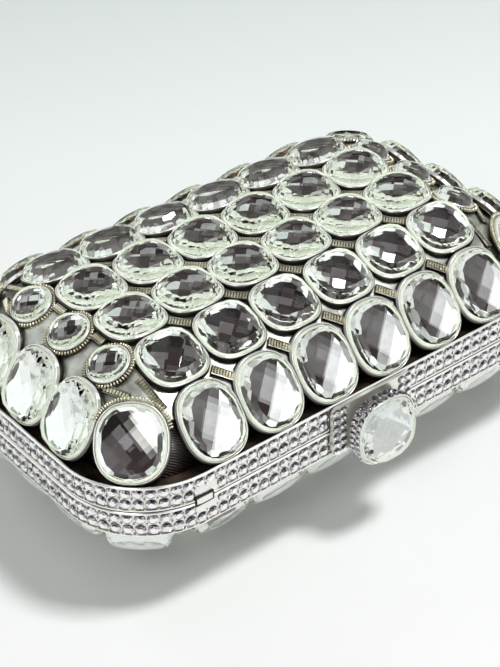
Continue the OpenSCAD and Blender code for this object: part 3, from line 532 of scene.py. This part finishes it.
def lining_cloth():
    """Pale grey satin with a fine crossed weave, quilted along stitched valleys, with painted shade in the
    valleys.
    """
    mat, tree, shader = material("lining_satin", Roughness=0.5, Sheen_Weight=0.5, Sheen_Roughness=0.4)
    where = coords(tree)

    def swing(way, pitch):
        """0 along parallel lines square to a diagonal way, and 1 halfway between them."""
        along = vector_op(tree, "DOT_PRODUCT", where, way, out="Value")
        phase = calc(tree, "MULTIPLY", along, math.pi / (pitch * MM))
        return calc(tree, "ABSOLUTE", calc(tree, "SINE", phase))

    weave = calc(tree, "MULTIPLY", wave(tree, where, "X", 900, 0.8), wave(tree, where, "Y", 900, 0.8))
    uneven = calc(tree, "ADD", weave, noise(tree, where, 260, 3))
    cloth = ramp(tree, uneven, [(0.3, (0.47, 0.465, 0.46)), (1.0, (0.64, 0.635, 0.625))])
    first, second = (1, 1, 0), (1, -1, 0)
    one, two = swing(first, QUILT), swing(second, QUILT)
    rows = [calc(tree, "MULTIPLY", calc(tree, "LESS_THAN", across, 0.06),
                 calc(tree, "GREATER_THAN", swing(way, STITCH), 0.5))
            for across, way in ((one, second), (two, first))]
    swell = calc(tree, "POWER", calc(tree, "MULTIPLY", one, two), 0.45)
    # painted shade: the cloth is darker in the quilting's valleys
    shade = ramp(tree, swell, [(0.0, (0.55, 0.54, 0.53)), (0.3, (0.84, 0.83, 0.82)), (0.6, (1, 1, 1))])
    shaded = mix(tree, 1.0, cloth, shade, "MULTIPLY")
    colour = mix(tree, calc(tree, "MAXIMUM", *rows), shaded, (0.80, 0.79, 0.77, 1))
    fine = bump(tree, weave, 0.35, 0.00012)
    tree.links.new(bump(tree, swell, 0.9, 0.0016).outputs["Normal"], fine.inputs["Normal"])
    tree.links.new(colour, shader.inputs["Base Color"])
    tree.links.new(fine.outputs["Normal"], shader.inputs["Normal"])
    return mat


silver = metal("bright_silver", (1.0, 1.0, 0.98), (0.95, 0.95, 0.93), 0.06, 0.16, shine=0.55, reach=0.0007)
# painted shade: dark metal for the gaps between rims and the floor under the struts' ribs
gap_shade_metal = metal("painted_gap_shade", (0.10, 0.095, 0.07), (0.035, 0.03, 0.022), 0.4, 0.6, 1200, 0.2)
cream = metal("cream_silver", (0.97, 0.965, 0.92), (0.90, 0.89, 0.82), 0.14, 0.28, shine=0.7)
# frame metal with painted shade on its outer ledges, under the stones
band_metal = metal("band_silver", (1.0, 1.0, 0.965), (0.95, 0.945, 0.90), 0.14, 0.28, shine=0.65,
                   reach=0.0012, ledge_shade=True)
# painted shade: dark metal for the gaps round the locating windows
window_shade_metal = metal("painted_window_shade", (0.05, 0.045, 0.04), (0.025, 0.02, 0.02), 0.35, 0.6, 1200, 0.2)
steel = metal("steel", (0.62, 0.63, 0.65), (0.5, 0.51, 0.53), 0.2, 0.36, 1400, 0.1)
antique = metal("milgrain_silver", (0.84, 0.81, 0.62), (0.46, 0.42, 0.28), 0.16, 0.34, 1200, 0.3, 0.8,
                0.0008)
# painted shade: the gallery's crevice darkening reaches far, so it is dark under the stones
gallery_metal = metal("pale_silver", (0.64, 0.66, 0.61), (0.24, 0.24, 0.21), 0.2, 0.4, 210, 0.9, 0.85,
                      0.005)
glass = crystal("crystal", (0.95, 0.975, 0.935))
clear_glass = crystal("clear_crystal", (0.98, 0.99, 0.98))
mirror, edge_foil, pave_stone = mirror_foil(), pale_foil(), pave()
satin, lining_satin = ribbed_satin(), lining_cloth()

# Stones and their bezels: half sizes, squareness, rise and pitch of the facets
SORTS = (
    ("face", FACE, *FACE_STONE, 2.7, CROWN_H, 3.1),
    ("wall", WALL, 9.75, 8.4, 2.5, CROWN_H, 3.2),
    ("end", END, 9.62, 8.4, 2.5, CROWN_H, 3.2),
    ("corner", CORNER, *CORNER_STONE, 2.3, CROWN_H, 2.65),
    ("round", ROUND, ROUND_STONE, ROUND_STONE, 2.0, CROWN_H * 2 * ROUND_STONE / COL_PITCH, 2.4),
)
KINDS = ("face", "wall", "corner", "round")
stones = {(half, kind): Mesh() for half, _, _ in HALVES for kind in KINDS}
rims = {key: Mesh() for key in stones}
seed = 0
for kind, places, hx, hy, power, rise, pitch in SORTS:
    group = "wall" if kind == "end" else kind
    sloping = kind in ("wall", "end", "corner")
    rim = bezel_rim(hx, hy, power, RIM_FLARE) if sloping else bezel_rim(hx, hy, power, skirt=RIM_SKIRT)
    for place in places:
        seed += 1
        if sloping:
            place = place @ Matrix.Translation((DOWN_SLOPE, 0, 0))
        shape = cut_stone(hx, hy, power, rise, pitch, wobble(seed, -6, 6),
                          (wobble(seed + 70, -0.22, 0.22), wobble(seed + 140, -0.22, 0.22)))
        for half, _, to_row in HALVES:
            stones[half, group].add(*shape, to_row @ place)
            rims[half, group].add(*rim, to_row @ place, smooth=True)
for half, body, _ in HALVES:
    for kind in KINDS:
        stones[half, kind].build(f"{half}_{kind}_stones", [glass, mirror, edge_foil], body, "crystal",
                                 [f"{half}_{kind}_crystals"])
        rims[half, kind].build(f"{half}_{kind}_rims", [silver, gap_shade_metal], body, "bright_silver",
                               [f"{half}_{kind}_bezels"])

# the clasp's stone and its plain bright rim
clasp_edge = COLLAR_U + COLLAR_L + BEZEL_D
on_clasp = BUTTON @ Matrix.Translation((0, 0, clasp_edge))
made = Mesh()
made.add(*cut_stone(*CLASP_STONE, CLASP_RISE, 3.6, 4, (0.1, 0.05)), on_clasp)
made.build("clasp_stone", [clear_glass, mirror, edge_foil], "button", "crystal", ["clasp_crystal"])
made = Mesh()
made.add(*bezel_rim(*CLASP_STONE)[:2], None, on_clasp, smooth=True)
made.build("clasp_rim", [silver], "button", "bright_silver", ["clasp_bezel"])


# Gallery, shell and lining
def dome_grid(inset, top_share, turns, steps, arc, ripple=None, straight=None, crown=0):
    """Rings of the dome, set in, from a share of its run to the crown.

    Straight adds a ring below, at that height, and crown adds rings over the flat of the crown. A ring
    has arc steps round each corner and turns steps along each side. Ripple moves each point.
    """
    out, height, least = [], FACE_H - inset, 0.3
    rings = [("low", straight)] if straight is not None else []
    for i in range(steps + 1):
        rings.append(("e", top_share * math.cos(i / steps * math.pi / 2) ** (2 / POWER)))
    for i in range(crown):
        rings.append(("flat", (i + 1) / crown * (CROWN_Y - least)))
    for kind, value in rings:
        e = {"low": top_share, "flat": 0.0}.get(kind, max(value, 0.0))
        inwards = value if kind == "flat" else 0.0
        reach = (CROWN_X + (RUN_X - inset) * e - inwards, CROWN_Y + (RUN_Y - inset) * e - inwards)
        radius = max(CROWN_R + (CORNER_R - SETBACK - inset - CROWN_R) * e - inwards, least)
        z = value if kind == "low" else height * (1 - min(e, 1) ** POWER) ** (1 / POWER)
        ring = []
        for quarter in range(4):
            sx, sy = (1, -1, -1, 1)[quarter], (1, 1, -1, -1)[quarter]
            for k in range(arc + 1):
                a = math.radians(quarter * 90 + 90 * k / arc)
                ring.append([sx * (reach[0] - radius) + radius * math.cos(a),
                             sy * (reach[1] - radius) + radius * math.sin(a), z])
            cx, cy = (-1, -1, 1, 1)[quarter], (1, -1, -1, 1)[quarter]
            a = math.radians(quarter * 90 + 90)
            p = ring[-1]
            q = [cx * (reach[0] - radius) + radius * math.cos(a),
                 cy * (reach[1] - radius) + radius * math.sin(a), z]
            for k in range(1, turns):
                ring.append([p[j] + (q[j] - p[j]) * k / turns for j in range(3)])
        out.append(ring)
    if ripple:
        for ring in out:
            for p in ring:
                ripple(p)
    return out


def skin(rings, offset=0):
    """Points and faces of a dome skin, its last ring closed by one face."""
    n = len(rings[0])
    faces = []
    for i in range(len(rings) - 1):
        faces += wall_faces(offset + i * n, offset + (i + 1) * n, n)
    faces.append([offset + (len(rings) - 1) * n + j for j in range(n)])
    return [tuple(p) for ring in rings for p in ring], faces


def thick_dome(outer, inner):
    """Closed shell between two dome skins, joined along their lower edges."""
    verts, faces = skin(outer)
    more, under = skin(inner, offset=len(verts))
    n, k = len(outer[0]), len(verts)
    lip = [(j, k + j, k + (j + 1) % n, (j + 1) % n) for j in range(n)]
    return verts + more, faces + [f[::-1] for f in under] + lip, None


def puff(p):
    """Quilted swell of the lining: soft diamonds between stitched valleys."""
    fullness, half_axes = 0.42, (75, 45, 26)
    u, v = (p[0] + p[1]) * math.pi / QUILT, (p[0] - p[1]) * math.pi / QUILT
    swell = SWELL * (abs(math.sin(u)) * abs(math.sin(v))) ** fullness - SUNK
    out = Vector([x / half ** 2 for x, half in zip(p, half_axes)]).normalized()
    for k in range(3):
        p[k] -= out[k] * swell


def share_at(z, inset):
    """The share of its run at which the dome, set in, has this height."""
    return (1 - (z / (FACE_H - inset)) ** POWER) ** (1 / POWER)


for half, body, to_row in HALVES:
    made = Mesh()
    made.add(*thick_dome(dome_grid(GALLERY_IN, 0.80, 8, 20, 8),
                         dome_grid(GALLERY_IN + GALLERY_T, 0.79, 8, 20, 8)), to_row, smooth=True)
    made.build(f"{half}_gallery", [gallery_metal], body, "bright_silver")
    made = Mesh()
    low_e = share_at(LEDGE_Z, SHELL_D)
    made.add(*thick_dome(dome_grid(SHELL_D, low_e, 10, 20, 9),
                         dome_grid(SHELL_D + SHELL_T, low_e, 10, 20, 9)), to_row, smooth=True)
    made.build(f"{half}_satin_shell", [satin], body, "satin_shell", [f"{half}_shell"])
    made = Mesh()
    deep, low_e = SHELL_D + SHELL_T + LINING_GAP, share_at(LINING_LOW, SHELL_D + SHELL_T)
    made.add(*thick_dome(dome_grid(deep, low_e, 78, 16, 12, straight=LINING_EDGE),
                         dome_grid(deep + LINING_T, low_e, 78, 48, 12, puff, LINING_EDGE, crown=10)),
             to_row, smooth=True)
    pad = made.build(f"{half}_quilted_lining", [lining_satin], body, "lining", [f"{half}_lining"])


# Beaded struts
def strut_shape(length, width, count):
    """Bar with two plain rails (1) and rounded ribs (0) between them, on a dark floor of painted shade (2),
    along Y.
    """
    bottom, floor_z, rib_z, rail_z, rail_w, room, thickness = -1.1, -0.52, -0.54, -0.2, 0.24, 0.3, 0.46
    verts, faces, mats = [], [], []

    def bar(x0, x1, z0, z1, mat):
        k, c = len(verts), min(0.08, (x1 - x0) / 4)
        y0, y1 = -length / 2, length / 2
        verts.extend([(x0, y0, z0), (x1, y0, z0), (x1, y1, z0), (x0, y1, z0),
                      (x0, y0, z1 - c), (x1, y0, z1 - c), (x1, y1, z1 - c), (x0, y1, z1 - c),
                      (x0 + c, y0 + c, z1), (x1 - c, y0 + c, z1), (x1 - c, y1 - c, z1),
                      (x0 + c, y1 - c, z1)])
        quads = [(3, 2, 1, 0), (8, 9, 10, 11)] + wall_faces(0, 4, 4) + wall_faces(4, 8, 4)
        faces.extend([tuple(k + j for j in quad) for quad in quads])
        mats.extend([mat] * len(quads))

    w = width / 2
    # painted shade: the floor under the ribs is dark
    bar(-w, w, bottom, floor_z, 2)
    bar(-w, -w + rail_w, rib_z, rail_z, 1)
    bar(w - rail_w, w, rib_z, rail_z, 1)
    reach, radius, sides = w - room, length / count * thickness, 7
    for i in range(count):
        y = ((i + 0.5) / count - 0.5) * length
        k = len(verts)
        for side, size in ((-1, 0.55), (-0.75, 1.0), (0.75, 1.0), (1, 0.55)):
            for j in range(sides):
                a = math.pi * j / (sides - 1)
                verts.append((side * reach, y + radius * size * math.cos(a),
                              rib_z + thickness * size * math.sin(a)))
        for r in range(3):
            for j in range(sides - 1):
                a, b = k + r * sides + j, k + (r + 1) * sides + j
                faces.append((a, a + 1, b + 1, b))
        faces.append([k + j for j in range(sides)][::-1])
        faces.append([k + 3 * sides + j for j in range(sides)])
        mats += [0] * (3 * (sides - 1) + 2)
    return verts, faces, mats


STRUTS, SHORT = [], []
wall_top = ROW_PITCH + WALL_GAP + FACE_STONE[0] * math.cos(tilt(ROW_PITCH / RUN_Y, RUN_Y))
for i in range(1, COLUMNS):
    x = (i - COLUMNS / 2) * COL_PITCH
    STRUTS.append(on_dome(x, 0, FACE_H, 0, 90))
    for side in (-1, 1):
        for e in ((ROW_PITCH - CROWN_Y) / RUN_Y, (wall_top - WALL_GAP / 2) / RUN_Y):
            STRUTS.append(on_dome(x, side * (CROWN_Y + RUN_Y * e), FACE_H * share(e), tilt(e, RUN_Y),
                                  90 * side))
STRUTS = [m @ Matrix.Rotation(math.radians(-45), 4, "Z") for m in STRUTS]
end_x = CROWN_X + FACE_STONE[1] + SHORT_BAR[1] / 2 + BEZEL_GAP
end_e = (end_x - CROWN_X) / RUN_X
for sx in (-1, 1):
    for sy in (-1, 1):
        SHORT.append(on_dome(sx * end_x, sy * CROWN_Y, FACE_H * share(end_e), tilt(end_e, RUN_X),
                             180 if sx < 0 else 0))


def between(start, end, out):
    """Matrix whose Y axis runs from start to end and whose Z axis leans towards out."""
    start, end = Vector(start), Vector(end)
    y = (end - start).normalized()
    x = y.cross(Vector(out)).normalized()
    z = x.cross(y)
    m = Matrix((x, y, z)).transposed().to_4x4()
    m.translation = (start + end) / 2
    return m, (end - start).length


def mirrored(point, sx, sy):
    return (point[0] * sx, point[1] * sy, point[2])


# bars beside the corner stones, in one quarter: start, end and the way they face
SIDE_BARS = (((52.4, 24.6, 21.9), (51.9, 33.4, 18.0), (0.45, 0.45, 0.77)),
             ((59.6, 20.4, 20.4), (56.9, 26.6, 20.0), (0.6, 0.3, 0.75)))
# ribbed collars: half sizes, squareness, how many ribs make a full round, and its part that is there
COLLARS = ((ROUND, ROUND_STONE, ROUND_STONE, 2.0, 50, 0.0, 1.0), (CORNER, 9.4, 8.8, 2.3, 84, 0.3, 0.7))
rib_size = Matrix.Diagonal((2.1, 0.85, 1.4, 1))
rib, long_bar, short_bar = ball(RIB_R), strut_shape(*LONG_BAR), strut_shape(*SHORT_BAR)
struts = {}
for half, _, to_row in HALVES:
    made = struts[half] = Mesh()
    for m in STRUTS:
        made.add(*long_bar, to_row @ m)
    for m in SHORT:
        made.add(*short_bar, to_row @ m)
    for sx in (-1, 1):
        for sy in (-1, 1):
            for ends in SIDE_BARS:
                m, length = between(*(mirrored(point, sx, sy) for point in ends))
                made.add(*strut_shape(length, SHORT_BAR[1], round(length / RIB_PITCH)), to_row @ m)
    for places, hx, hy, power, count, start, end in COLLARS:
        edge = cushion(hx + RIB_OUT, hy + RIB_OUT, power, count)
        for place in places:
            for k in range(int(start * count), int(end * count)):
                out = math.atan2(edge[k][1], edge[k][0])
                m = (to_row @ place @ Matrix.Translation((edge[k][0], edge[k][1], -RIB_SUNK))
                     @ Matrix.Rotation(out, 4, "Z") @ rib_size)
                made.add(*rib, m, smooth=True)
for half, body, _ in HALVES:
    struts[half].build(f"{half}_beaded_struts", [antique, gallery_metal, gap_shade_metal], body, "bright_silver",
                       [f"{half}_bridges"])


# Small stones of the frames
def band_spots():
    """Places round the frame: x, y, the way a stone faces, as the frame's fittings leave room."""
    side_run, front_run = HALF_W - CORNER_R, HALF_L - CORNER_R
    half_plate, half_hinge = PLATE_W / 2, HINGE_L / 2
    stretches = (
        [(-side_run, side_run)],
        [(-front_run, -HINGE_X - half_hinge), (half_hinge - HINGE_X, HINGE_X - half_hinge),
         (HINGE_X + half_hinge, front_run)],
        [(-side_run, side_run)],
        [(-front_run, CLASP_X - half_plate), (CLASP_X + half_plate, front_run)])
    spots = []
    for side in range(4):
        reach, run = (HALF_L, side_run) if side % 2 == 0 else (HALF_W, front_run)
        a = math.radians(90 * side)
        row = []
        for start, end in stretches[side]:
            count = round((end - start) / BAND_PITCH)
            row += [(reach, start + (i + 0.5) / count * (end - start), 0.0) for i in range(count)]
        bend = round(CORNER_R * math.pi / 2 / BAND_PITCH)
        for i in range(bend):
            b = (i + 0.5) * math.pi / 2 / bend
            row.append((reach - CORNER_R + CORNER_R * math.cos(b), run + CORNER_R * math.sin(b), b))
        for x, y, b in row:
            spots.append((x * math.cos(a) - y * math.sin(a), x * math.sin(a) + y * math.cos(a), a + b))
    return spots


low, high = GAP + PARTING_LIP, BAND_H - RIM_LIP
step = (high - low) / 2
QUARTER = Matrix.Rotation(math.radians(90), 4, "Y")
tiny, tiny_reflection_tone = small_stone(*BAND_GEM)
bead, bead_apart = ball(BEAD_R), step / 2 * 0.92
for half, body, to_row in HALVES:
    gems, beads = Mesh(), Mesh()
    k = 0
    for x, y, a in band_spots():
        for row in (0, 1):
            k += 1
            if row == 0 and HALF_W + y < BAND_ROOM and abs(abs(x) - BLOCK_X) < BLOCK_W / 2 + BAND_ROOM:
                continue
            spin = Matrix.Rotation(wobble(k, 0, 0.8), 4, "Z")
            lean = (Matrix.Rotation(wobble(k + 31, -0.09, 0.09), 4, "X")
                    @ Matrix.Rotation(wobble(k + 77, -0.09, 0.09), 4, "Y"))
            m = (to_row @ Matrix.Translation((x, y, low + (row + 0.5) * step))
                 @ Matrix.Rotation(a, 4, "Z") @ Matrix.Translation((-CHANNEL, 0, 0)) @ QUARTER)
            gems.add(*tiny, m @ lean @ spin, tone=tiny_reflection_tone)
            for dv in (-1, 1):
                beads.add(*bead, m @ Matrix.Translation((dv * bead_apart, BAND_PITCH / 2, BEAD_UP)),
                          smooth=True)
    gems.build(f"{half}_band_stones", [pave_stone], body, "pave_crystal", [f"{half}_band_crystals"])
    beads.build(f"{half}_band_beads", [cream], body, "cream_silver")

# the clasp's small stones, on the plate and in three rounds on the button's side
gems, beads = Mesh(), Mesh()
rows = int((PLATE_H - PLATE_SPARE) // PLATE_PITCH)
row_step = (PLATE_H - PLATE_SPARE) / rows
plate_gem, plate_reflection_tone = small_stone(*PLATE_GEM)
side_gem, side_reflection_tone = small_stone(*SIDE_GEM)
grain = ball(GRAIN_R)
for side in (-1, 1):
    for i in range(2):
        for j in range(rows):
            x, y = side * (PLATE_W / 2 - PLATE_EDGE - i * PLATE_PITCH), (j + 0.5 - rows / 2) * row_step
            gems.add(*plate_gem, FRONT @ Matrix.Translation((x, y, PLATE_T))
                     @ Matrix.Rotation(wobble(i + 9 * j, 0, 0.8), 4, "Z"), tone=plate_reflection_tone)
            for dx in (-1, 1) if i == 0 else ():
                beads.add(*grain, FRONT @ Matrix.Translation((x + dx * GRAIN_OUT, y + row_step / 2,
                                                              PLATE_T + 0.05)), smooth=True)
gems.build("clasp_plate_stones", [pave_stone], "base", "pave_crystal", ["clasp_plate_crystals"])
beads.build("clasp_plate_beads", [cream], "base", "cream_silver")
# the rounds: outline, height over the plate and how many stones
gems, points = Mesh(), 720
collar = (COLLAR_W / 2, COLLAR_W / 2, 2.7)
for outline, u, count in ((collar, COLLAR_U + 0.75, 32), (collar, COLLAR_U + 2.0, 32),
                          (CLASP_STONE, clasp_edge - 1.05, 34)):
    edge = cushion(*outline, points)
    gaps = np.linalg.norm(np.roll(edge, -1, 0) - edge, axis=1)
    run = np.concatenate([[0], np.cumsum(gaps)])
    for k in range(count):
        i = int(np.searchsorted(run, (k + 0.5) / count * run[-1])) % points
        p, q = edge[i - 1], edge[(i + 1) % points]
        out = math.atan2(p[0] - q[0], q[1] - p[1])
        m = (BUTTON @ Matrix.Translation((edge[i][0], edge[i][1], u)) @ Matrix.Rotation(out, 4, "Z")
             @ QUARTER @ Matrix.Translation((0, 0, -SIDE_SUNK)) @ Matrix.Rotation(wobble(k, 0, 0.8), 4, "Z"))
        gems.add(*side_gem, m, tone=side_reflection_tone)
gems.build("clasp_side_stones", [pave_stone], "button", "pave_crystal", ["clasp_collar_crystals"])

# painted shade: dark edges in the gaps round the locating windows
made = Mesh()
for side in (-1, 1):
    for u0, u1, v0, v1 in ((-1, 1, 1, 1.5), (-1, 1, -1.5, -1), (-1.19, -1, -1.5, 1.5),
                           (1, 1.19, -1.5, 1.5)):
        half_w, half_h = BLOCK_W / 2, BLOCK_H / 2
        x0, x1, z0, z1 = u0 * half_w, u1 * half_w, v0 * half_h, v1 * half_h
        verts = [(side * BLOCK_X + x, -HALF_W + y, z) for y in (0.06, 0.9)
                 for x, z in ((x0, z0), (x1, z0), (x1, z1), (x0, z1))]
        made.add(verts, [(0, 1, 2, 3), (7, 6, 5, 4), (0, 4, 5, 1), (1, 5, 6, 2), (2, 6, 7, 3),
                         (3, 7, 4, 0)], None, UPPER)
made.build("locating_window_shade", [window_shade_metal], "base", "steel")

# Metal pieces that keep the shape of their solids
for name, obj in nodes.items():
    if obj.hide_render:
        continue
    if "frame" in name:
        mat = band_metal
    elif "hinge_leaves" in name or name in ("locating_blocks", "clasp_plate", "clasp_collar"):
        mat = cream
    else:
        mat = steel
    obj.data.materials.clear()
    obj.data.materials.append(mat)


# Floor, light and world
HORIZON = (0.68, 0.735, 0.72)


def sheet(name, corners, mat):
    mesh = bpy.data.meshes.new(name)
    mesh.from_pydata(corners, [], [(0, 1, 2, 3)])
    mesh.materials.append(mat)
    return new_object(name, mesh)


def floor():
    """Pale floor that keeps the shadow, with painted shade that darkens it away from the camera."""
    mat, tree, shader = material("floor", Roughness=0.9)
    where = coords(tree)
    along = vector_op(tree, "DOT_PRODUCT", where, (0.54, 0.84, 0), out="Value")
    # painted shade: the floor's colour grows darker away from the camera
    tone = ramp(tree, span(tree, along, -0.1, 0.3), [
        (0.0, (0.965, 0.97, 0.965)), (0.35, (0.95, 0.975, 0.97)), (0.62, (0.90, 0.95, 0.93)),
        (1.0, (0.74, 0.80, 0.78))])
    tree.links.new(tone, shader.inputs["Base Color"])
    paths = add_node(tree, "LightPath")
    # towards the horizon the floor turns into the backdrop's own tone, for the camera alone
    away = span(tree, vector_op(tree, "LENGTH", where, out="Value"), 0.42, 1.1)
    fade = calc(tree, "MULTIPLY", away, paths.outputs["Is Camera Ray"])
    horizon = add_node(tree, "Emission", {"Color": (*HORIZON, 1)}, "Emission")
    faded = mix_shader(tree, fade, shader.outputs["BSDF"], horizon)
    # painted reflection: rays through the glass see the floor partly glowing in patches of grey and white,
    # which the stones show
    painted_reflection_patches = ramp(tree, square_cells(tree, where, 42), [
        (0.0, (0.20, 0.20, 0.19)), (0.12, (0.50, 0.53, 0.51)), (0.24, (0.82, 0.87, 0.84)),
        (0.4, (1.0, 1.0, 1.0))], stepped=True)
    painted_glow_tiles = add_node(tree, "Emission", {"Color": painted_reflection_patches}, "Emission")
    part = calc(tree, "MULTIPLY", paths.outputs["Is Transmission Ray"], 0.78)
    tree.links.new(mix_shader(tree, part, faded, painted_glow_tiles), tree.nodes["Material Output"].inputs["Surface"])
    half = 3.0
    obj = sheet("floor", [(-half, -half, 0), (half, -half, 0), (half, half, 0), (-half, half, 0)], mat)


def dark_card():
    """Dark brown card out of the picture, seen only in the stones and metal."""
    mat, tree, shader = material("dark_card", Roughness=0.9)
    tone = ramp(tree, noise(tree, coords(tree), 9, 1), [(0.35, (0.03, 0.024, 0.023)),
                                                       (0.65, (0.16, 0.14, 0.14))])
    tree.links.new(tone, shader.inputs["Base Color"])
    obj = sheet("dark_card", [(-0.08, 0.26, 0), (1.2, 0.26, 0), (1.2, 0.46, 0.5), (-0.08, 0.46, 0.5)], mat)
    obj.visible_camera = obj.visible_shadow = obj.visible_diffuse = False


def lamp(name, at, size, watts):
    """Square lamp aimed at the middle of the clutch, and not seen through the glass."""
    middle = Vector((0, 0, 0.03))
    data = bpy.data.lights.new(name, "AREA")
    data.energy, data.shape, data.size, data.size_y = watts, "RECTANGLE", size, size
    obj = new_object(name, data)
    obj.location = at
    obj.rotation_mode = "QUATERNION"
    obj.rotation_quaternion = (middle - Vector(at)).to_track_quat("-Z", "Y")
    obj.visible_transmission = False


floor()
dark_card()
lamp("key", (0.36, -0.34, 1.25), 0.26, 10.9)
lamp("fill", (-0.75, -0.35, 0.8), 0.35, 1.2)
lamp("back", (-0.2, 0.95, 0.85), 0.3, 0.8)

# a dark panel and six pale ones in the room: direction, where it starts, softness, tone and share
PANELS = (
    ((0.70, -0.66, 0.28), 0.895, 0.02, (0.050, 0.036, 0.035), 0.8),
    ((0.24, -0.62, 0.747), 0.885, 0.085, (1.5, 1.5, 1.55), 1.0),
    ((-0.74, 0.60, 0.30), 0.88, 0.02, (1.12, 1.20, 1.17), 1.0),
    ((-0.93, -0.20, 0.30), 0.95, 0.02, (1.1, 1.1, 1.12), 1.0),
    ((-0.80, -0.34, 0.50), 0.965, 0.02, (1.35, 1.33, 1.3), 1.0),
    ((0.80, 0.53, 0.28), 0.955, 0.02, (1.0, 1.08, 1.0), 1.0),
    ((0.87, 0.05, 0.49), 0.955, 0.02, (0.85, 0.93, 0.85), 1.0),
)


def studio():
    """The room that stones and metal mirror, the backdrop that the camera sees, and even light."""
    world = bpy.data.worlds.new("studio")
    bpy.context.scene.world = world
    world.use_nodes = True
    tree = world.node_tree
    tree.nodes.clear()
    where = add_node(tree, "TexCoord", out="Generated")
    paths = add_node(tree, "LightPath")
    # a dim room in blocks of tone, with its panels and a low white horizon
    room = ramp(tree, square_cells(tree, where, 4.3, 0.85), [
        (0.0, (0.018, 0.015, 0.015)), (0.22, (0.048, 0.036, 0.036)), (0.42, (0.10, 0.075, 0.075)),
        (0.54, (0.17, 0.15, 0.16)), (0.64, (0.32, 0.33, 0.33)), (0.77, (0.72, 0.77, 0.75)),
        (0.87, (1.5, 1.5, 1.55))], stepped=True)
    for direction, edge, softness, tone, most in PANELS:
        toward = vector_op(tree, "DOT_PRODUCT", where, direction, out="Value")
        room = mix(tree, span(tree, toward, edge, edge + softness, 0.0, most), room, (*tone, 1))
    height = height_of(tree, where)
    room = mix(tree, span(tree, height, 0.09, 0.14), (0.95, 0.97, 0.95, 1), room)
    mirrored_room = add_node(tree, "Background", {"Color": room}, "Background")
    sky = ramp(tree, height, [(0.0, HORIZON), (0.35, (0.72, 0.78, 0.76))])
    backdrop = add_node(tree, "Background", {"Color": sky}, "Background")
    # even light, stronger where it comes through the glass
    through = paths.outputs["Is Transmission Ray"]
    even = add_node(tree, "Background", {"Color": (1.0, 1.01, 1.0, 1),
                                         "Strength": calc(tree, "MULTIPLY_ADD", through, 1.65, 0.33)},
                    "Background")
    sharp = calc(tree, "LESS_THAN", paths.outputs["Diffuse Depth"], 0.5)
    mirrored = calc(tree, "MULTIPLY", calc(tree, "MAXIMUM", paths.outputs["Is Glossy Ray"], through), sharp)
    light = mix_shader(tree, mirrored, even, mirrored_room)
    surface = mix_shader(tree, paths.outputs["Is Camera Ray"], light, backdrop)
    add_node(tree, "OutputWorld", {"Surface": surface})


def camera():
    """The photograph's camera: its angles, its distance and its focal length in pixels of the picture."""
    az, el, roll = math.radians(-36.894), math.radians(35.337), math.radians(-2.586)
    distance, focal, picture, sensor = 0.4924, 1914, 667, 36
    back = Vector((math.sin(az) * math.cos(el), -math.cos(az) * math.cos(el), math.sin(el)))
    right = Vector((math.cos(az), math.sin(az), 0))
    up = back.cross(right)
    right, up = (math.cos(roll) * right + math.sin(roll) * up,
                 -math.sin(roll) * right + math.cos(roll) * up)
    data = bpy.data.cameras.new("camera")
    data.sensor_width, data.lens = sensor, focal / picture * sensor
    data.clip_start, data.clip_end = 0.01, 20
    obj = new_object("camera", data)
    target = Vector((-3.33, ORIGIN_Y - 3.0, PARTING_Z)) * MM
    obj.matrix_world = Matrix.Translation(target + back * distance) @ Matrix(
        (right, up, back)).transposed().to_4x4()
    bpy.context.scene.camera = obj


studio()
camera()
bpy.context.scene.view_settings.view_transform = "Standard"
